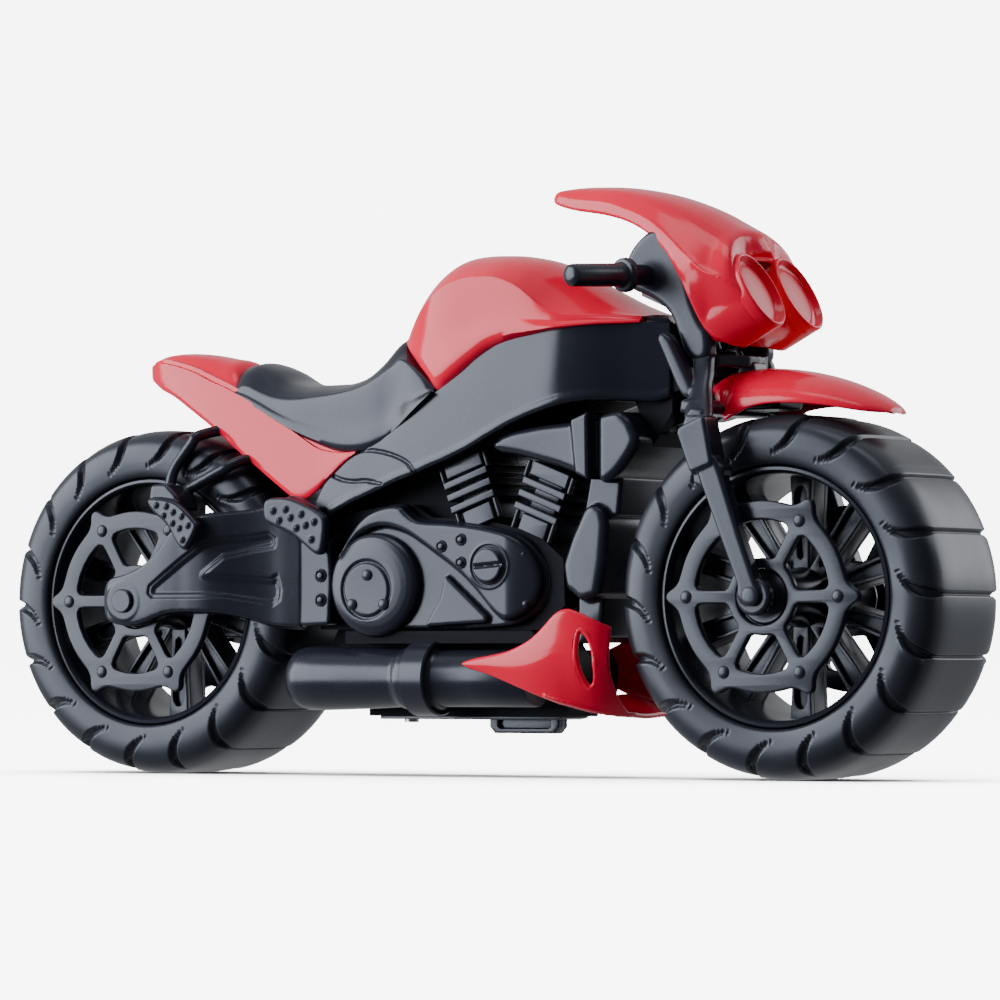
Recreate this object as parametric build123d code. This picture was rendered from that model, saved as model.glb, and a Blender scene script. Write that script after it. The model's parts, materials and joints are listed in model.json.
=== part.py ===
from build123d import *
import os
from math import sin, cos, tan, pi, radians, degrees, atan2, sqrt, acos

os.makedirs("parts", exist_ok=True)

# ---------------------------------------------------------------- driving dimensions (mm)
# Frame: origin on the ground midway between the wheels, +X forwards, +Y to the rider's left, +Z up.
WHEEL_R = 54.0            # tyre radius over the tread blocks
HUB_X = 112.68            # half the wheelbase
HUB_Z = WHEEL_R
TYRE_HW = 22.4            # tyre half width at the shoulder
RIM_R = 39.0              # rim seat radius
AXLE_R = 2.5
RUN = 0.05                # running clearance on every shaft
N_BLOCKS = 18             # tread blocks round a tyre
N_SPOKES = 10             # rim spokes
ROTOR_IN, ROTOR_OUT = 26.3, 28.8
ROTOR_BORE = 8.4
LEG_IN, LEG_OUT = 29.9, 35.5
STEER_P = (78.0, 0.0, 130.0)          # point on the steering axis
STEER_D = (-0.33292, 0.0, 0.94296)    # steering axis direction, up and back
STEM_R = 4.0
GRIP_END_Y = 51.0
GEAR_M = 0.8              # drive gear module
N_AXLE, N_IDLER, N_PINION = 26, 32, 12
STEER_M = 1.0             # steering gear module
N_STEM, N_SERVO = 18, 12
CASE_HW = 17.8            # crankcase half width
COVER_OUT = 24.2
MUFF_Y, MUFF_Z, MUFF_R = 19.4, 30.0, 9.6
A0 = (-HUB_X, HUB_Z)      # rear axle in XZ
B0 = (-92.2, 64.9)        # first idler
C0 = (-66.6, 64.9)        # second idler
P0 = (-49.02, 64.3)       # motor shaft


# ---------------------------------------------------------------- helpers
def slab(pts, ya, yb):
    """Polygon in the XZ plane, from y=ya to y=yb."""
    ya, yb = min(ya, yb), max(ya, yb)
    w = Wire.make_polygon([Vector(x, ya, z) for x, z in pts], close=True)
    return Solid.extrude(Face(w), Vector(0, yb - ya, 0))


def plate_z(pts, za, zb):
    w = Wire.make_polygon([Vector(x, y, za) for x, y in pts], close=True)
    return Solid.extrude(Face(w), Vector(0, 0, zb - za))


def box(x0, x1, y0, y1, z0, z1):
    return Solid.make_box(x1 - x0, y1 - y0, z1 - z0, Plane(origin=(x0, y0, z0)))


def cyl(p, d, r, h):
    """Cylinder from point p along direction d."""
    return Solid.make_cylinder(r, h, Plane(origin=p, z_dir=d))


def cyl_y(x, z, r, ya, yb):
    ya, yb = min(ya, yb), max(ya, yb)
    return cyl((x, ya, z), (0, 1, 0), r, yb - ya)


def loft(secs):
    return Solid.make_loft([Wire.make_polygon([Vector(*p) for p in s], close=True) for s in secs], ruled=True)


def my(s):
    return s.mirror(Plane.XZ)


def smooth(pts, n=4, closed=True):
    """Catmull-Rom points through an outline."""
    out = []
    m = len(pts)
    rng = range(m) if closed else range(m - 1)
    for i in rng:
        if closed:
            p0, p1, p2, p3 = pts[i - 1], pts[i], pts[(i + 1) % m], pts[(i + 2) % m]
        else:
            p0, p1, p2, p3 = pts[max(i - 1, 0)], pts[i], pts[i + 1], pts[min(i + 2, m - 1)]
        for k in range(n):
            t = k / n
            out.append(tuple(0.5 * (2 * b + (c - a) * t + (2 * a - 5 * b + 4 * c - d) * t * t
                             + (3 * b - a - 3 * c + d) * t ** 3) for a, b, c, d in zip(p0, p1, p2, p3)))
    if not closed:
        out.append(pts[-1])
    return out


def solids(s):
    if isinstance(s, (list, tuple)):
        out = []
        for a in s:
            out += solids(a)
        return out
    if isinstance(s, Solid):
        return [s]
    return list(s.solids())


def cut(a, *tools):
    """Boolean difference, keeping every solid worth keeping."""
    res = a
    for t in tools:
        for tt in solids(t):
            rr = []
            for b in solids(res):
                r = b.cut(tt)
                rr += [q for q in (solids(r) if r is not None else [])]
            res = [q for q in rr if q.volume > 0.02]
    return res


def fuse(*parts):
    ps = []
    for p in parts:
        ps += solids(p)
    r = ps[0].fuse(*ps[1:]) if len(ps) > 1 else ps[0]
    return r


def keep_big(s, n=1):
    q = sorted(solids(s), key=lambda a: -a.volume)
    return q[:n]


NODES = {}


def node(name, s):
    NODES[name] = solids(s)


def on_axis(s_along, behind=0.0, y=0.0):
    """Point on the steering axis, optionally moved backwards square to it."""
    return (STEER_P[0] + STEER_D[0] * s_along - STEER_D[2] * behind, y,
            STEER_P[2] + STEER_D[2] * s_along + STEER_D[0] * behind)


def gear_outline(n, m, alpha=25.0, back=0.16, root_c=0.3):
    """Involute gear outline with one tooth centred on angle 0."""
    al = radians(alpha)
    rp = m * n / 2.0
    rb = rp * cos(al)
    ra = rp + 0.95 * m
    rf = rp - (1.0 + root_c) * m
    inv = lambda a: tan(a) - a
    half_p = pi / (2 * n) - back / (2 * rp)
    prof = []
    r0 = max(rb, rf)
    for k in range(5):
        r = r0 + (ra - r0) * k / 4
        a = acos(min(1.0, rb / r))
        prof.append((r, half_p + inv(al) - inv(a)))
    pts = []
    for i in range(n):
        c = 2 * pi * i / n
        if rf < rb:
            pts.append((rf, c - prof[0][1]))
        for r, h in prof:
            pts.append((r, c - h))
        for r, h in reversed(prof):
            pts.append((r, c + h))
        if rf < rb:
            pts.append((rf, c + prof[0][1]))
    return pts


def gear_xz(n, m, cx, cz, phase, ya, yb):
    """Gear about an axis along Y; phase measured from +X towards +Z."""
    pts = [(cx + r * cos(a + phase), cz + r * sin(a + phase)) for r, a in gear_outline(n, m)]
    return slab(pts, ya, yb)


def mesh_phase(c1, n1, a1, c2, n2):
    """Tooth angle of gear 2 that puts a gap against the tooth of gear 1."""
    th = atan2(c2[1] - c1[1], c2[0] - c1[0])
    f1 = (th - a1) / (2 * pi / n1)
    return th + pi - (2 * pi / n2) * (0.5 - f1)


# ---------------------------------------------------------------- wheels
def tyre_solid(cx):
    """Wide ribbed tyre: revolved carcass with cross grooves in tread and shoulder."""
    prof = [(RIM_R, 18.0), (RIM_R + 0.2, 21.3), (41.0, 22.2), (46.5, TYRE_HW), (50.4, 21.6), (52.8, 19.6),
            (53.8, 16.8), (WHEEL_R, 12.0), (WHEEL_R, 0.0)]
    ring = prof + [(r, -y) for r, y in reversed(prof[:-1])]
    w = Wire.make_polygon([Vector(cx + r, y, HUB_Z) for r, y in ring], close=True)
    t = Solid.revolve(Face(w), 360, Axis((cx, 0, HUB_Z), (0, 1, 0)))
    cutters = []
    for i in range(N_BLOCKS):
        a = radians(20 * i + 0.8)
        p = Plane(origin=(cx + 53.6 * cos(a), 0, HUB_Z + 53.6 * sin(a)), x_dir=(0, 1, 0), z_dir=(cos(a), 0, sin(a)))
        b = Solid.make_box(60, 2.0, 4, Plane(origin=p.origin - p.x_dir * 30 - p.y_dir * 1.0 - p.z_dir * 1.0,
                                             x_dir=p.x_dir, z_dir=p.z_dir))
        cutters.append(b)
    r = t.cut(*cutters)
    return keep_big(r)


def rim_solid(cx, hub_half):
    prof = [(36.2, 0.0), (36.2, 19.2), (37.0, 20.9), (RIM_R - 0.4, 20.9), (RIM_R - 0.4, 17.9), (RIM_R, 17.9), (RIM_R, 0.0)]
    ring = prof + [(r, -y) for r, y in reversed(prof[1:-1])]
    w = Wire.make_polygon([Vector(cx + r, y, HUB_Z) for r, y in ring], close=True)
    barrel = Solid.revolve(Face(w), 360, Axis((cx, 0, HUB_Z), (0, 1, 0)))
    hub = fuse(cyl_y(cx, HUB_Z, 9.0, -ROTOR_IN, ROTOR_IN), cyl_y(cx, HUB_Z, ROTOR_BORE, -27.2, 27.2), cyl_y(cx, HUB_Z, 4.2, -hub_half, hub_half))
    sp = []
    for i in range(N_SPOKES):
        a = radians(90 + 36 * i)
        ca, sa = cos(a), sin(a)
        pts = [(r * ca - w_ * sa, r * sa + w_ * ca) for r, w_ in
               [(8.0, -2.5), (36.6, -3.5), (36.6, 3.5), (8.0, 2.5)]]
        sp.append(slab([(cx + x, HUB_Z + z) for x, z in pts], -5.0, 5.0))
    r = fuse(barrel, hub, *sp)
    return solids(r)


def rotor_solid(cx, side):
    """Brake disc: ring with six pointed lugs and six windows between straight spokes."""
    out = []
    for k in range(6):
        for da, r in [(0, 32.4), (2.7, 31.8), (5.0, 30.0), (8.0, 28.8), (11.0, 28.3), (20, 28.2), (30, 28.2), (40, 28.2), (49.0, 28.3),
                      (52.0, 28.8), (55.0, 30.0), (57.3, 31.8)]:
            a = radians(60 * k + da)
            out.append((cx + r * cos(a), HUB_Z + r * sin(a)))
    ya, yb = (ROTOR_IN, ROTOR_OUT) if side > 0 else (-ROTOR_OUT, -ROTOR_IN)
    d = slab(out, ya, yb)
    win = []
    for k in range(6):
        c = 30 + 60 * k
        pts = []
        for da, r in [(-16, 11.6), (-20.9, 12.8), (-23, 16), (-24.4, 20.4), (-21, 22.4), (-10, 22.6), (0, 22.6), (10, 22.6), (21, 22.4), (24.4, 20.4), (23, 16),
                      (20.9, 12.8), (16, 11.6), (0, 11.4)]:
            a = radians(c + da)
            pts.append((cx + r * cos(a), HUB_Z + r * sin(a)))
        win.append(slab(pts, ya - 1, yb + 1))
    bore = cyl_y(cx, HUB_Z, ROTOR_BORE, ya - 1, yb + 1)
    return keep_big(cut(d, *win, bore))


def rotor_bolts(cx):
    out = []
    for s in (-1, 1):
        for k in range(6):
            a = radians(60 * k)
            out.append(cyl_y(cx + 25.5 * cos(a), HUB_Z + 25.5 * sin(a), 1.9, s * ROTOR_OUT, s * (ROTOR_OUT + 0.6)))
    return out


HUBH = 29.2
for nm, cx in (("front", HUB_X), ("rear", -HUB_X)):
    node(nm + "_tyre", tyre_solid(cx))
    rim = rim_solid(cx, HUBH)
    hole = cyl_y(cx, HUB_Z, AXLE_R + (RUN if nm == "front" else 0.0), -40, 40)
    node(nm + "_rim", keep_big(cut(rim, hole)))
    node(nm + "_rotors", rotor_solid(cx, -1) + rotor_solid(cx, 1))
    node(nm + "_rotor_bolts", rotor_bolts(cx))

# ---------------------------------------------------------------- fork body
stem = cyl(on_axis(-23.5), STEER_D, STEM_R, 33.5)
GEAR_S = -4.4             # stem gear's lower face along the axis
ph_stem = pi / N_STEM


def gear_tilt(n, m, centre, phase, h):
    """Gear whose axis lies along the steering axis; phase from the backwards direction."""
    pl = Plane(origin=centre, x_dir=(-STEER_D[2], 0, STEER_D[0]), z_dir=STEER_D)
    pts = [pl.from_local_coords(Vector(r * cos(a + phase), r * sin(a + phase), 0)) for r, a in gear_outline(n, m)]
    w = Wire.make_polygon(pts, close=True)
    return Solid.extrude(Face(w), Vector(*STEER_D) * h)


stem_gear = gear_tilt(N_STEM, STEER_M, on_axis(GEAR_S), 0.0, 3.0)
# servo gear: a gap faces the stem gear's tooth
servo_c = on_axis(GEAR_S, 15.05)
servo_gear = gear_tilt(N_SERVO, STEER_M, servo_c, pi + pi / N_SERVO, 3.0)

crown = fuse(slab([(78.4, 108.5), (84, 107.9), (93.0, 107.9), (94.0, 110.2), (91.5, 112.2), (84, 112.4), (79.6, 111.4)], -9.5, 9.5),
             slab([(84.6, 108.2), (93.0, 107.9), (94.0, 110.2), (91.5, 112.2), (85.2, 112.4)], -LEG_IN, LEG_IN))
crown = cut(crown, cyl(on_axis(-30), STEER_D, STEM_R, 25))
crown = keep_big(crown)
node("steering_stem", fuse(stem, stem_gear))
node("fork_crown", crown)

leg_pts = [(93.6, 94.0), (94.9, 90.0), (96.3, 86.0), (107.4, 59.3), (108.0, 56.8), (107.9, 54.4), (108.9, 52.7), (110.5, 51.9), (112.3, 51.9), (114.0, 52.8),
           (115.1, 54.3), (115.1, 56.2), (114.6, 57.2), (109.0, 72.0), (102.8, 89.8), (101.2, 94.0), (99.6, 97.0)]
leg_block = [(88.0, 102.4), (88.9, 103.9), (96.6, 107.2), (97.7, 106.6), (100.3, 93.6), (99.8, 92.6), (93.4, 90.2), (92.4, 90.9)]
leg_step = [(92.9, 91.6), (93.4, 87.2), (96.0, 86.2), (102.9, 89.2), (103.2, 92.0), (99.9, 94.5)]
leg_tongue = [(87.4, 103.0), (88.9, 107.4), (91.0, 109.4), (94.6, 108.6), (96.6, 104.0)]
leg_r = fuse(slab(leg_pts, -LEG_OUT, -LEG_IN), slab(leg_block, -36.2, -27.5), slab(leg_step, -34.8, -28.5), slab(leg_tongue, -32.6, -LEG_IN),
             cyl_y(HUB_X, HUB_Z, 5.6, -34.2, -LEG_IN))
leg_hole = cyl_y(HUB_X, HUB_Z, AXLE_R, -40, 40)
leg_r = keep_big(cut(leg_r, leg_hole))
node("fork_leg_right", leg_r)
node("fork_leg_left", [my(q) for q in leg_r])
axle = fuse(cyl_y(HUB_X, HUB_Z, AXLE_R, -LEG_OUT, LEG_OUT), cyl_y(HUB_X, HUB_Z, 2.9, -LEG_OUT - 0.6, -LEG_OUT), cyl_y(HUB_X, HUB_Z, 2.9, LEG_OUT, LEG_OUT + 0.6))
node("front_axle", axle)

# upper clamp: ties the stem's top to the riser plates
clamp = slab([(63.2, 144.4), (79.0, 137.6), (86.0, 139.0), (86.0, 146.0), (76.0, 150.0), (63.2, 150.0)], -14.0, 14.0)
clamp = keep_big(cut(clamp, cyl(on_axis(-30), STEER_D, STEM_R, 40.0), cyl(on_axis(-30), STEER_D, 40, 37.5)))
node("upper_clamp", clamp)

# curved riser plates that carry the cowl, one each side of the clamp
riser_pts = [(62.0, 146.5), (60.6, 150.5), (62.0, 156.0), (66.0, 161.0), (71.5, 163.5), (75.5, 161.0), (79.5, 155.0), (82.5, 148.0), (84.7, 141.4),
             (87.3, 135.8), (89.8, 132.4), (89.8, 126.0), (87.0, 123.6), (83.3, 124.6), (80.6, 127.8), (79.0, 132.5), (76.0, 138.8), (70.0, 142.9)]
riser_r = slab(riser_pts, -19.5, -14.0)
cross = plate_z([(82.6, -14.5), (90.0, -14.5), (93.5, -8), (95.2, -5), (95.8, 0), (95.2, 5), (93.5, 8), (90.0, 14.5), (82.6, 14.5), (82.6, 9.6), (88.0, 7.7), (89.6, 4), (89.8, 0),
                 (89.6, -4), (88.0, -7.7), (82.6, -9.6)], 122.4, 126.4)
bracket = fuse(riser_r, my(riser_r), cross)

# gusset bars from the riser plates down to the crown
g = slab([(74.6, 131.0), (77.2, 132.6), (79.6, 130.4), (87.4, 115.6), (86.6, 112.6), (84.2, 112.6), (82.2, 115.4)], -25.0, -19.6)
gus_r = keep_big(cut(g, riser_r))
gus_l = [my(q) for q in gus_r]
node("fork_gussets", gus_r + gus_l)
bridge = slab([(80.6, 112.5), (87.6, 112.5), (87.6, 116.6), (82.6, 116.8)], -25.0, -9.0)

# handlebar: one bent tube through the riser plates
BAR = (68.2, 150.2)                   # middle of the bar
BAR_D = (-0.2466, -0.968, -0.0457)    # right-hand grip direction, outwards, back and slightly down
bar_mid = cyl_y(BAR[0], BAR[1], 3.2, -20.0, 20.0)
bar_r = cyl((BAR[0] + 0.55, -17.3, BAR[1] + 0.1), BAR_D, 3.05, 11.0)
bar_l = my(bar_r)
hb = fuse(bar_mid, bar_r, bar_l)
g0 = tuple(a + d * (27.6 - 19.5) / 0.968 for a, d in zip((BAR[0], -19.5, BAR[1]), BAR_D))
col_r = cyl(g0, BAR_D, 5.2, 2.6)
grip_r = cyl(g0, BAR_D, 3.5, (GRIP_END_Y - 27.6 - 0.8) / 0.968)
grip_r = fuse(col_r, grip_r)
grip_r = keep_big(cut(grip_r, hb))
node("handlebar", hb)
node("handlebar_grips", grip_r + [my(q) for q in grip_r])
NODES["upper_clamp"] = keep_big(cut(NODES["upper_clamp"], hb))
node("cowl_bracket", keep_big(cut(bracket, hb)))

# front cowl: an open-backed shell, thick wall, two round lamp barrels at the nose
# each station: x, top z, half width at the top, z of the widest point, half width, bottom z, half width at the bottom
def arch(x, zt, wt, zm, wm, zb, wb, th, xoff=0.0):
    o = [(x + xoff, -wb, zb), (x, -wm, zm), (x, -wt, zt - (zt - zm) * 0.28), (x, -wt * 0.45, zt), (x, wt * 0.45, zt),
         (x, wt, zt - (zt - zm) * 0.28), (x, wm, zm), (x + xoff, wb, zb)]
    i = [(x + xoff, wb - th, zb), (x, wm - th, zm), (x, (wt - th * 0.9), zt - (zt - zm) * 0.28 - th * 0.7), (x, wt * 0.45 - 0.3 * th, zt - th),
         (x, -wt * 0.45 + 0.3 * th, zt - th), (x, -wt + th * 0.9, zt - (zt - zm) * 0.28 - th * 0.7), (x, -wm + th, zm), (x + xoff, -wb + th, zb)]
    return o + i


cowl_secs = [
    arch(28.6, 178.0, 7.6, 175.6, 9.2, 173.6, 9.6, 1.8),
    arch(40.0, 178.7, 9.6, 175.0, 12.2, 171.0, 13.0, 1.9),
    arch(50.0, 178.3, 11.2, 173.6, 14.4, 169.4, 15.4, 2.0),
    arch(60.0, 177.0, 12.6, 171.0, 16.8, 166.6, 17.6, 2.0),
    arch(68.0, 175.0, 13.8, 167.6, 18.6, 162.4, 19.4, 2.0),
    arch(75.0, 172.6, 14.8, 163.6, 20.6, 157.0, 21.4, 2.0),
    arch(81.0, 170.2, 15.6, 160.0, 22.2, 151.0, 22.8, 2.0),
    arch(86.0, 167.8, 16.4, 156.6, 23.2, 143.4, 23.2, 2.0),
    arch(91.0, 165.2, 17.0, 153.4, 23.8, 136.0, 22.4, 2.0),
    arch(96.0, 162.4, 17.4, 150.0, 24.0, 131.0, 20.0, 2.0),
]
cowl_shell = loft(cowl_secs)
# nose block: twin barrels leaned back
LAMP_N = Vector(0.857, 0, 0.515)      # lamp axis, forwards and up
nose_r = cyl((87.5, -11.0, 137.0), LAMP_N, 13.2, 19.6)
nose_l = my(nose_r)
chin = slab([(88.0, 131.5), (96.0, 128.2), (103.0, 127.2), (110.0, 131.0), (111.0, 140.0), (101.0, 158.0), (92.0, 164.0), (86.0, 160.0)], -13.0, 13.0)
nose = fuse(nose_r, nose_l, chin)
nose = cut(nose, box(60, 86.5, -40, 40, 100, 200))
cowl = fuse(cowl_shell, nose)
inner = slab([(84.0, 133.0), (96.5, 130.6), (101.0, 131.6), (99.6, 140.0), (93.0, 152.0), (88.0, 158.0), (80.0, 160.0)], -16.0, 16.0)
cowl = cut(cowl, inner)
lens = []
for s in (-1, 1):
    c0 = Vector(87.5, 11.0 * s, 137.0) + LAMP_N * 17.4
    cowl = cut(cowl, cyl(tuple(c0), LAMP_N, 11.3, 6.0))
    lens.append(cyl(tuple(c0), LAMP_N, 11.3, 1.2))
cowl = cut(cowl, box(20, 140, -60, 60, 179.2, 200), NODES["cowl_bracket"], hb)
node("front_cowl", keep_big(cowl))
lens_r = keep_big(cut(lens[0], box(60, 140, -0.05, 40, 100, 200)))
node("headlight_lenses", lens_r + [my(q) for q in lens_r])

# front mudguard: curved roof shell over the tyre
def guard(x, zt, hw, drop, th=1.8):
    return [(x, -hw, zt - drop), (x, -hw * 0.55, zt - drop * 0.22), (x, 0, zt), (x, hw * 0.55, zt - drop * 0.22), (x, hw, zt - drop),
            (x, hw - th * 0.7, zt - drop - th * 0.6), (x, hw * 0.5, zt - drop * 0.22 - th), (x, 0, zt - th), (x, -hw * 0.5, zt - drop * 0.22 - th),
            (x, -hw + th * 0.7, zt - drop - th * 0.6)]


guard_secs = [guard(86.0, 119.0, 11.0, 3.4), guard(89.0, 120.8, 14.6, 6.6), guard(92.5, 121.8, 17.0, 11.4), guard(95.0, 122.1, 17.6, 14.6),
              guard(99.0, 122.3, 17.9, 13.2), guard(103.0, 122.2, 18.0, 11.6), guard(110.0, 121.6, 18.0, 10.2), guard(118.0, 120.2, 17.6, 8.8),
              guard(126.0, 118.0, 16.4, 7.4), guard(133.0, 115.3, 14.2, 6.0), guard(138.0, 112.8, 11.4, 4.4), guard(141.0, 110.9, 8.0, 2.8), guard(142.6, 109.6, 4.6, 1.4)]
mud = loft(guard_secs)
stay = slab([(88.0, 112.5), (93.5, 112.5), (93.5, 118.4), (88.0, 117.0)], -9.0, 9.0)
mud = fuse(mud, cut(stay, bridge))
mud = cut(mud, NODES["fork_crown"], bridge, gus_r, gus_l, cyl(on_axis(-30), STEER_D, STEM_R + 3, 60))
node("front_mudguard", keep_big(mud))
crown2 = fuse(NODES["fork_crown"], cut(cut(bridge, gus_r), cyl(on_axis(-30), STEER_D, STEM_R + 6.2, 40)),
              cut(cut(my(bridge), gus_l), cyl(on_axis(-30), STEER_D, STEM_R + 6.2, 40)))
NODES["fork_crown"] = keep_big(crown2)

# ---------------------------------------------------------------- drive train
ph_a = 0.0
ph_b = mesh_phase(A0, N_AXLE, ph_a, B0, N_IDLER)
ph_c = mesh_phase(B0, N_IDLER, ph_b, C0, N_IDLER)
ph_p = mesh_phase(C0, N_IDLER, ph_c, P0, N_PINION)
GY0, GY1 = 30.9, 33.3
ag = cut(gear_xz(N_AXLE, GEAR_M, A0[0], A0[1], ph_a, GY0, GY1), cyl_y(A0[0], A0[1], AXLE_R, 0, 60))
node("axle_gear", ag)
node("rear_axle", cyl_y(A0[0], A0[1], AXLE_R, -33.4, 33.9))
for nm, c, ph in (("idler_gear_rear", B0, ph_b), ("idler_gear_front", C0, ph_c)):
    node(nm, cut(gear_xz(N_IDLER, GEAR_M, c[0], c[1], ph, GY0, GY1), cyl_y(c[0], c[1], 1.5 + RUN, 0, 60)))
pin = fuse(gear_xz(N_PINION, GEAR_M, P0[0], P0[1], ph_p, GY0, GY1), cyl_y(P0[0], P0[1], 1.0, 14.1, GY0))
node("motor_pinion", pin)
node("idler_pins", [cyl_y(c[0], c[1], 1.5, 29.9, 34.1) for c in (B0, C0)])

# ---------------------------------------------------------------- crankcase and covers
case_pts = [(-50.0, 45.0), (-50.5, 55.0), (-56.5, 57.5), (-56.5, 72.0), (-50.0, 77.0), (-40.0, 80.6), (-28.0, 82.4), (-16.0, 83.0), (-9.0, 79.0),
            (10.0, 78.0), (28.0, 74.0), (38.0, 66.0), (38.5, 52.0), (31.0, 44.6)]
in_pts = [(-48.6, 47.6), (-48.8, 57.0), (-55.2, 58.6), (-55.2, 71.4), (-49.4, 75.2), (-39.6, 78.6), (-16.8, 80.8), (-9.6, 76.8), (9.8, 75.8),
          (27.0, 72.0), (35.6, 64.8), (36.0, 53.0), (30.0, 47.4)]
case_r = cut(slab(case_pts, -CASE_HW, 0), slab(in_pts, -CASE_HW + 2.4, 1))
case_l = cut(slab(case_pts, 0, CASE_HW), slab(in_pts, -1, CASE_HW - 2.4), cyl_y(P0[0], P0[1], 1.0 + RUN + 0.4, 0, 60))
node("crankcase_right", keep_big(case_r))
node("crankcase_left", keep_big(case_l))

motor = fuse(cyl_y(P0[0], P0[1], 6.0, -8.0, 13.0), cyl_y(P0[0], P0[1], 2.6, 13.0, 14.0))
node("drive_motor", motor)
node("receiver_board", fuse(box(-34.0, 6.0, -11.0, 11.0, 68.0, 69.4), box(-24.0, -14.0, -4.0, 4.0, 69.4, 71.0), cyl((0.0, 0.0, 69.4), (0, 0, 1), 2.6, 5.0)))

pull_c = (-26.4, 58.5)
cover_pts = [(-40, 66), (-37, 72), (-33, 77), (-28, 81), (-22, 83), (-16, 83), (-13.5, 80.6), (-10, 78.2), (0, 77.6), (10, 76.5), (20, 74.5), (26, 72),
             (30, 68), (33, 62), (33.4, 57), (31, 52), (27, 48), (22, 46), (-8, 45.2), (-20, 45.2), (-36, 46.5), (-41, 52), (-42, 60)]
cov_r = slab(smooth(cover_pts, 2), -COVER_OUT, -CASE_HW)
pull_cut = cyl_y(pull_c[0], pull_c[1], 16.3, -40, -19.5)
cov_r = keep_big(cut(cov_r, pull_cut))
node("primary_cover_right", cov_r)
node("primary_cover_left", [my(q) for q in cov_r])
pul_r = fuse(cyl_y(pull_c[0], pull_c[1], 16.0, -25.4, -19.5), cyl_y(pull_c[0], pull_c[1], 13.4, -26.4, -25.4), cyl_y(-28.0, 57.0, 8.6, -26.9, -26.4))
pul_l = my(pul_r)
node("pulley_covers", [pul_r.solids()[0] if not isinstance(pul_r, Solid) else pul_r, pul_l.solids()[0] if not isinstance(pul_l, Solid) else pul_l])
scr = []
for sgn in (-1, 1):
    for x, z, r in ((15.5, 64.0, 5.4),):
        b = cyl_y(x, z, r, sgn * COVER_OUT, sgn * (COVER_OUT + 1.5))
        b = cut(b, box(x - 6, x + 6, min(sgn * (COVER_OUT + 0.7), sgn * (COVER_OUT + 3)), max(sgn * (COVER_OUT + 0.7), sgn * (COVER_OUT + 3)), z - 0.7, z + 0.7))
        scr += solids(b)
    for x, z in ((-1.5, 70.0), (5.5, 72.0), (5.5, 65.0), (26.0, 66.5), (27.0, 52.5)):
        scr.append(cyl_y(x, z, 1.5, sgn * COVER_OUT, sgn * (COVER_OUT + 0.9)))
    for x, z in ((-27.5, 61.5), (-33.0, 52.5), (-21.5, 52.5)):
        scr.append(cyl_y(x, z, 1.7, sgn * 26.9, sgn * 27.7))
node("cover_screws", scr)


# finned cylinders
def barrel(x0, z0, ux, uz, L, fins, wf, w0, w1, s1):
    """Finned cylinder from its foot along (ux, uz): narrow base, cross fins, plain head block from s1 to L."""
    px, pz = uz, -ux
    def blk(sa, sb, w, hw):
        return slab([(x0 + ux * s + px * t, z0 + uz * s + pz * t) for s, t in ((sa, -w), (sb, -w), (sb, w), (sa, w))], -hw, hw)
    parts = [blk(0, L - 1.0, w0, 17.5), blk(s1, L, w1, 19.8), blk(0, fins[0] - 1.6, w0 + 0.4, 19.6)]
    for f in fins:
        parts.append(blk(f - FIN_T / 2, f + FIN_T / 2, wf, 20.8))
    return fuse(*parts)


FIN_T = 2.3
REAR_CYL = (9.8, 76.6, -0.334, 0.9426, 21.4, (7.4, 11.2, 15.0), 8.2, 4.9, 6.9, 16.9)
FRONT_CYL = (27.4, 73.2, 0.36, 0.933, 21.6, (7.0, 11.0, 15.0), 8.0, 4.6, 6.9, 17.0)
case_solid = slab(case_pts, -CASE_HW, CASE_HW)
cyl_rear = cut(barrel(*REAR_CYL), case_solid, NODES["primary_cover_right"], NODES["primary_cover_left"])
cyl_front = cut(barrel(*FRONT_CYL), case_solid, NODES["primary_cover_right"], NODES["primary_cover_left"])
node("cylinder_rear", keep_big(cyl_rear))
node("cylinder_front", keep_big(cyl_front))

# air box wedge and its front block
ab = slab([(16, 100), (20, 103.5), (30, 105.6), (45, 106.6), (51, 109.4), (51.5, 89.5), (48.0, 90.6), (40, 93.6), (30, 96), (25, 97.4), (18, 98)], -24.0, 24.0)
fb = slab([(52.6, 109), (60, 109.6), (64, 106.8), (66.5, 101), (64.5, 97), (60, 91), (55, 88), (52.6, 90)], -22.0, 22.0)
ab = fuse(ab, slab([(51, 107), (54, 107), (54, 92), (51, 92)], -20.0, 20.0), fb)
ab = cut(ab, NODES["cylinder_rear"], NODES["cylinder_front"])
node("air_box", keep_big(ab))
scoop = fuse(slab([(39.4, 64), (42.4, 72), (47, 81), (50, 82.5), (54, 80.5), (55, 76), (54, 65), (52, 54.6), (46, 53), (40.6, 57)], -21.0, 21.0),
             slab([(45, 80), (57, 79.6), (58.4, 91.5), (47.5, 91.5)], -17.6, 17.6), slab([(42, 40.5), (50, 42), (51, 56), (42, 56)], -16.0, 16.0))
scoop = keep_big(cut(scoop, NODES["air_box"], NODES["cylinder_front"]))
node("oil_cooler", scoop)

# ---------------------------------------------------------------- chassis
HT_LO, HT_HI = -11.9, 7.0
tube = cyl(on_axis(HT_LO), STEER_D, 7.4, HT_HI - HT_LO)
yoke = fuse(slab([(50, 113.4), (50, 134.0), (72, 136.0), (80, 120.0), (76, 116.0), (62, 112.8)], -12.6, -6.4),
            slab([(50, 113.4), (50, 134.0), (72, 136.0), (80, 120.0), (76, 116.0), (62, 112.8)], 6.4, 12.6))
head = fuse(tube, yoke, box(50.0, 53.5, -12.6, 12.6, 113.4, 134.0))
head = cut(head, cyl(on_axis(-30), STEER_D, STEM_R + RUN, 60), cyl(on_axis(GEAR_S - 0.6), STEER_D, 10.6, 4.2), cyl(on_axis(GEAR_S - 0.6, 15.05), STEER_D, 7.6, 4.2))
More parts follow.
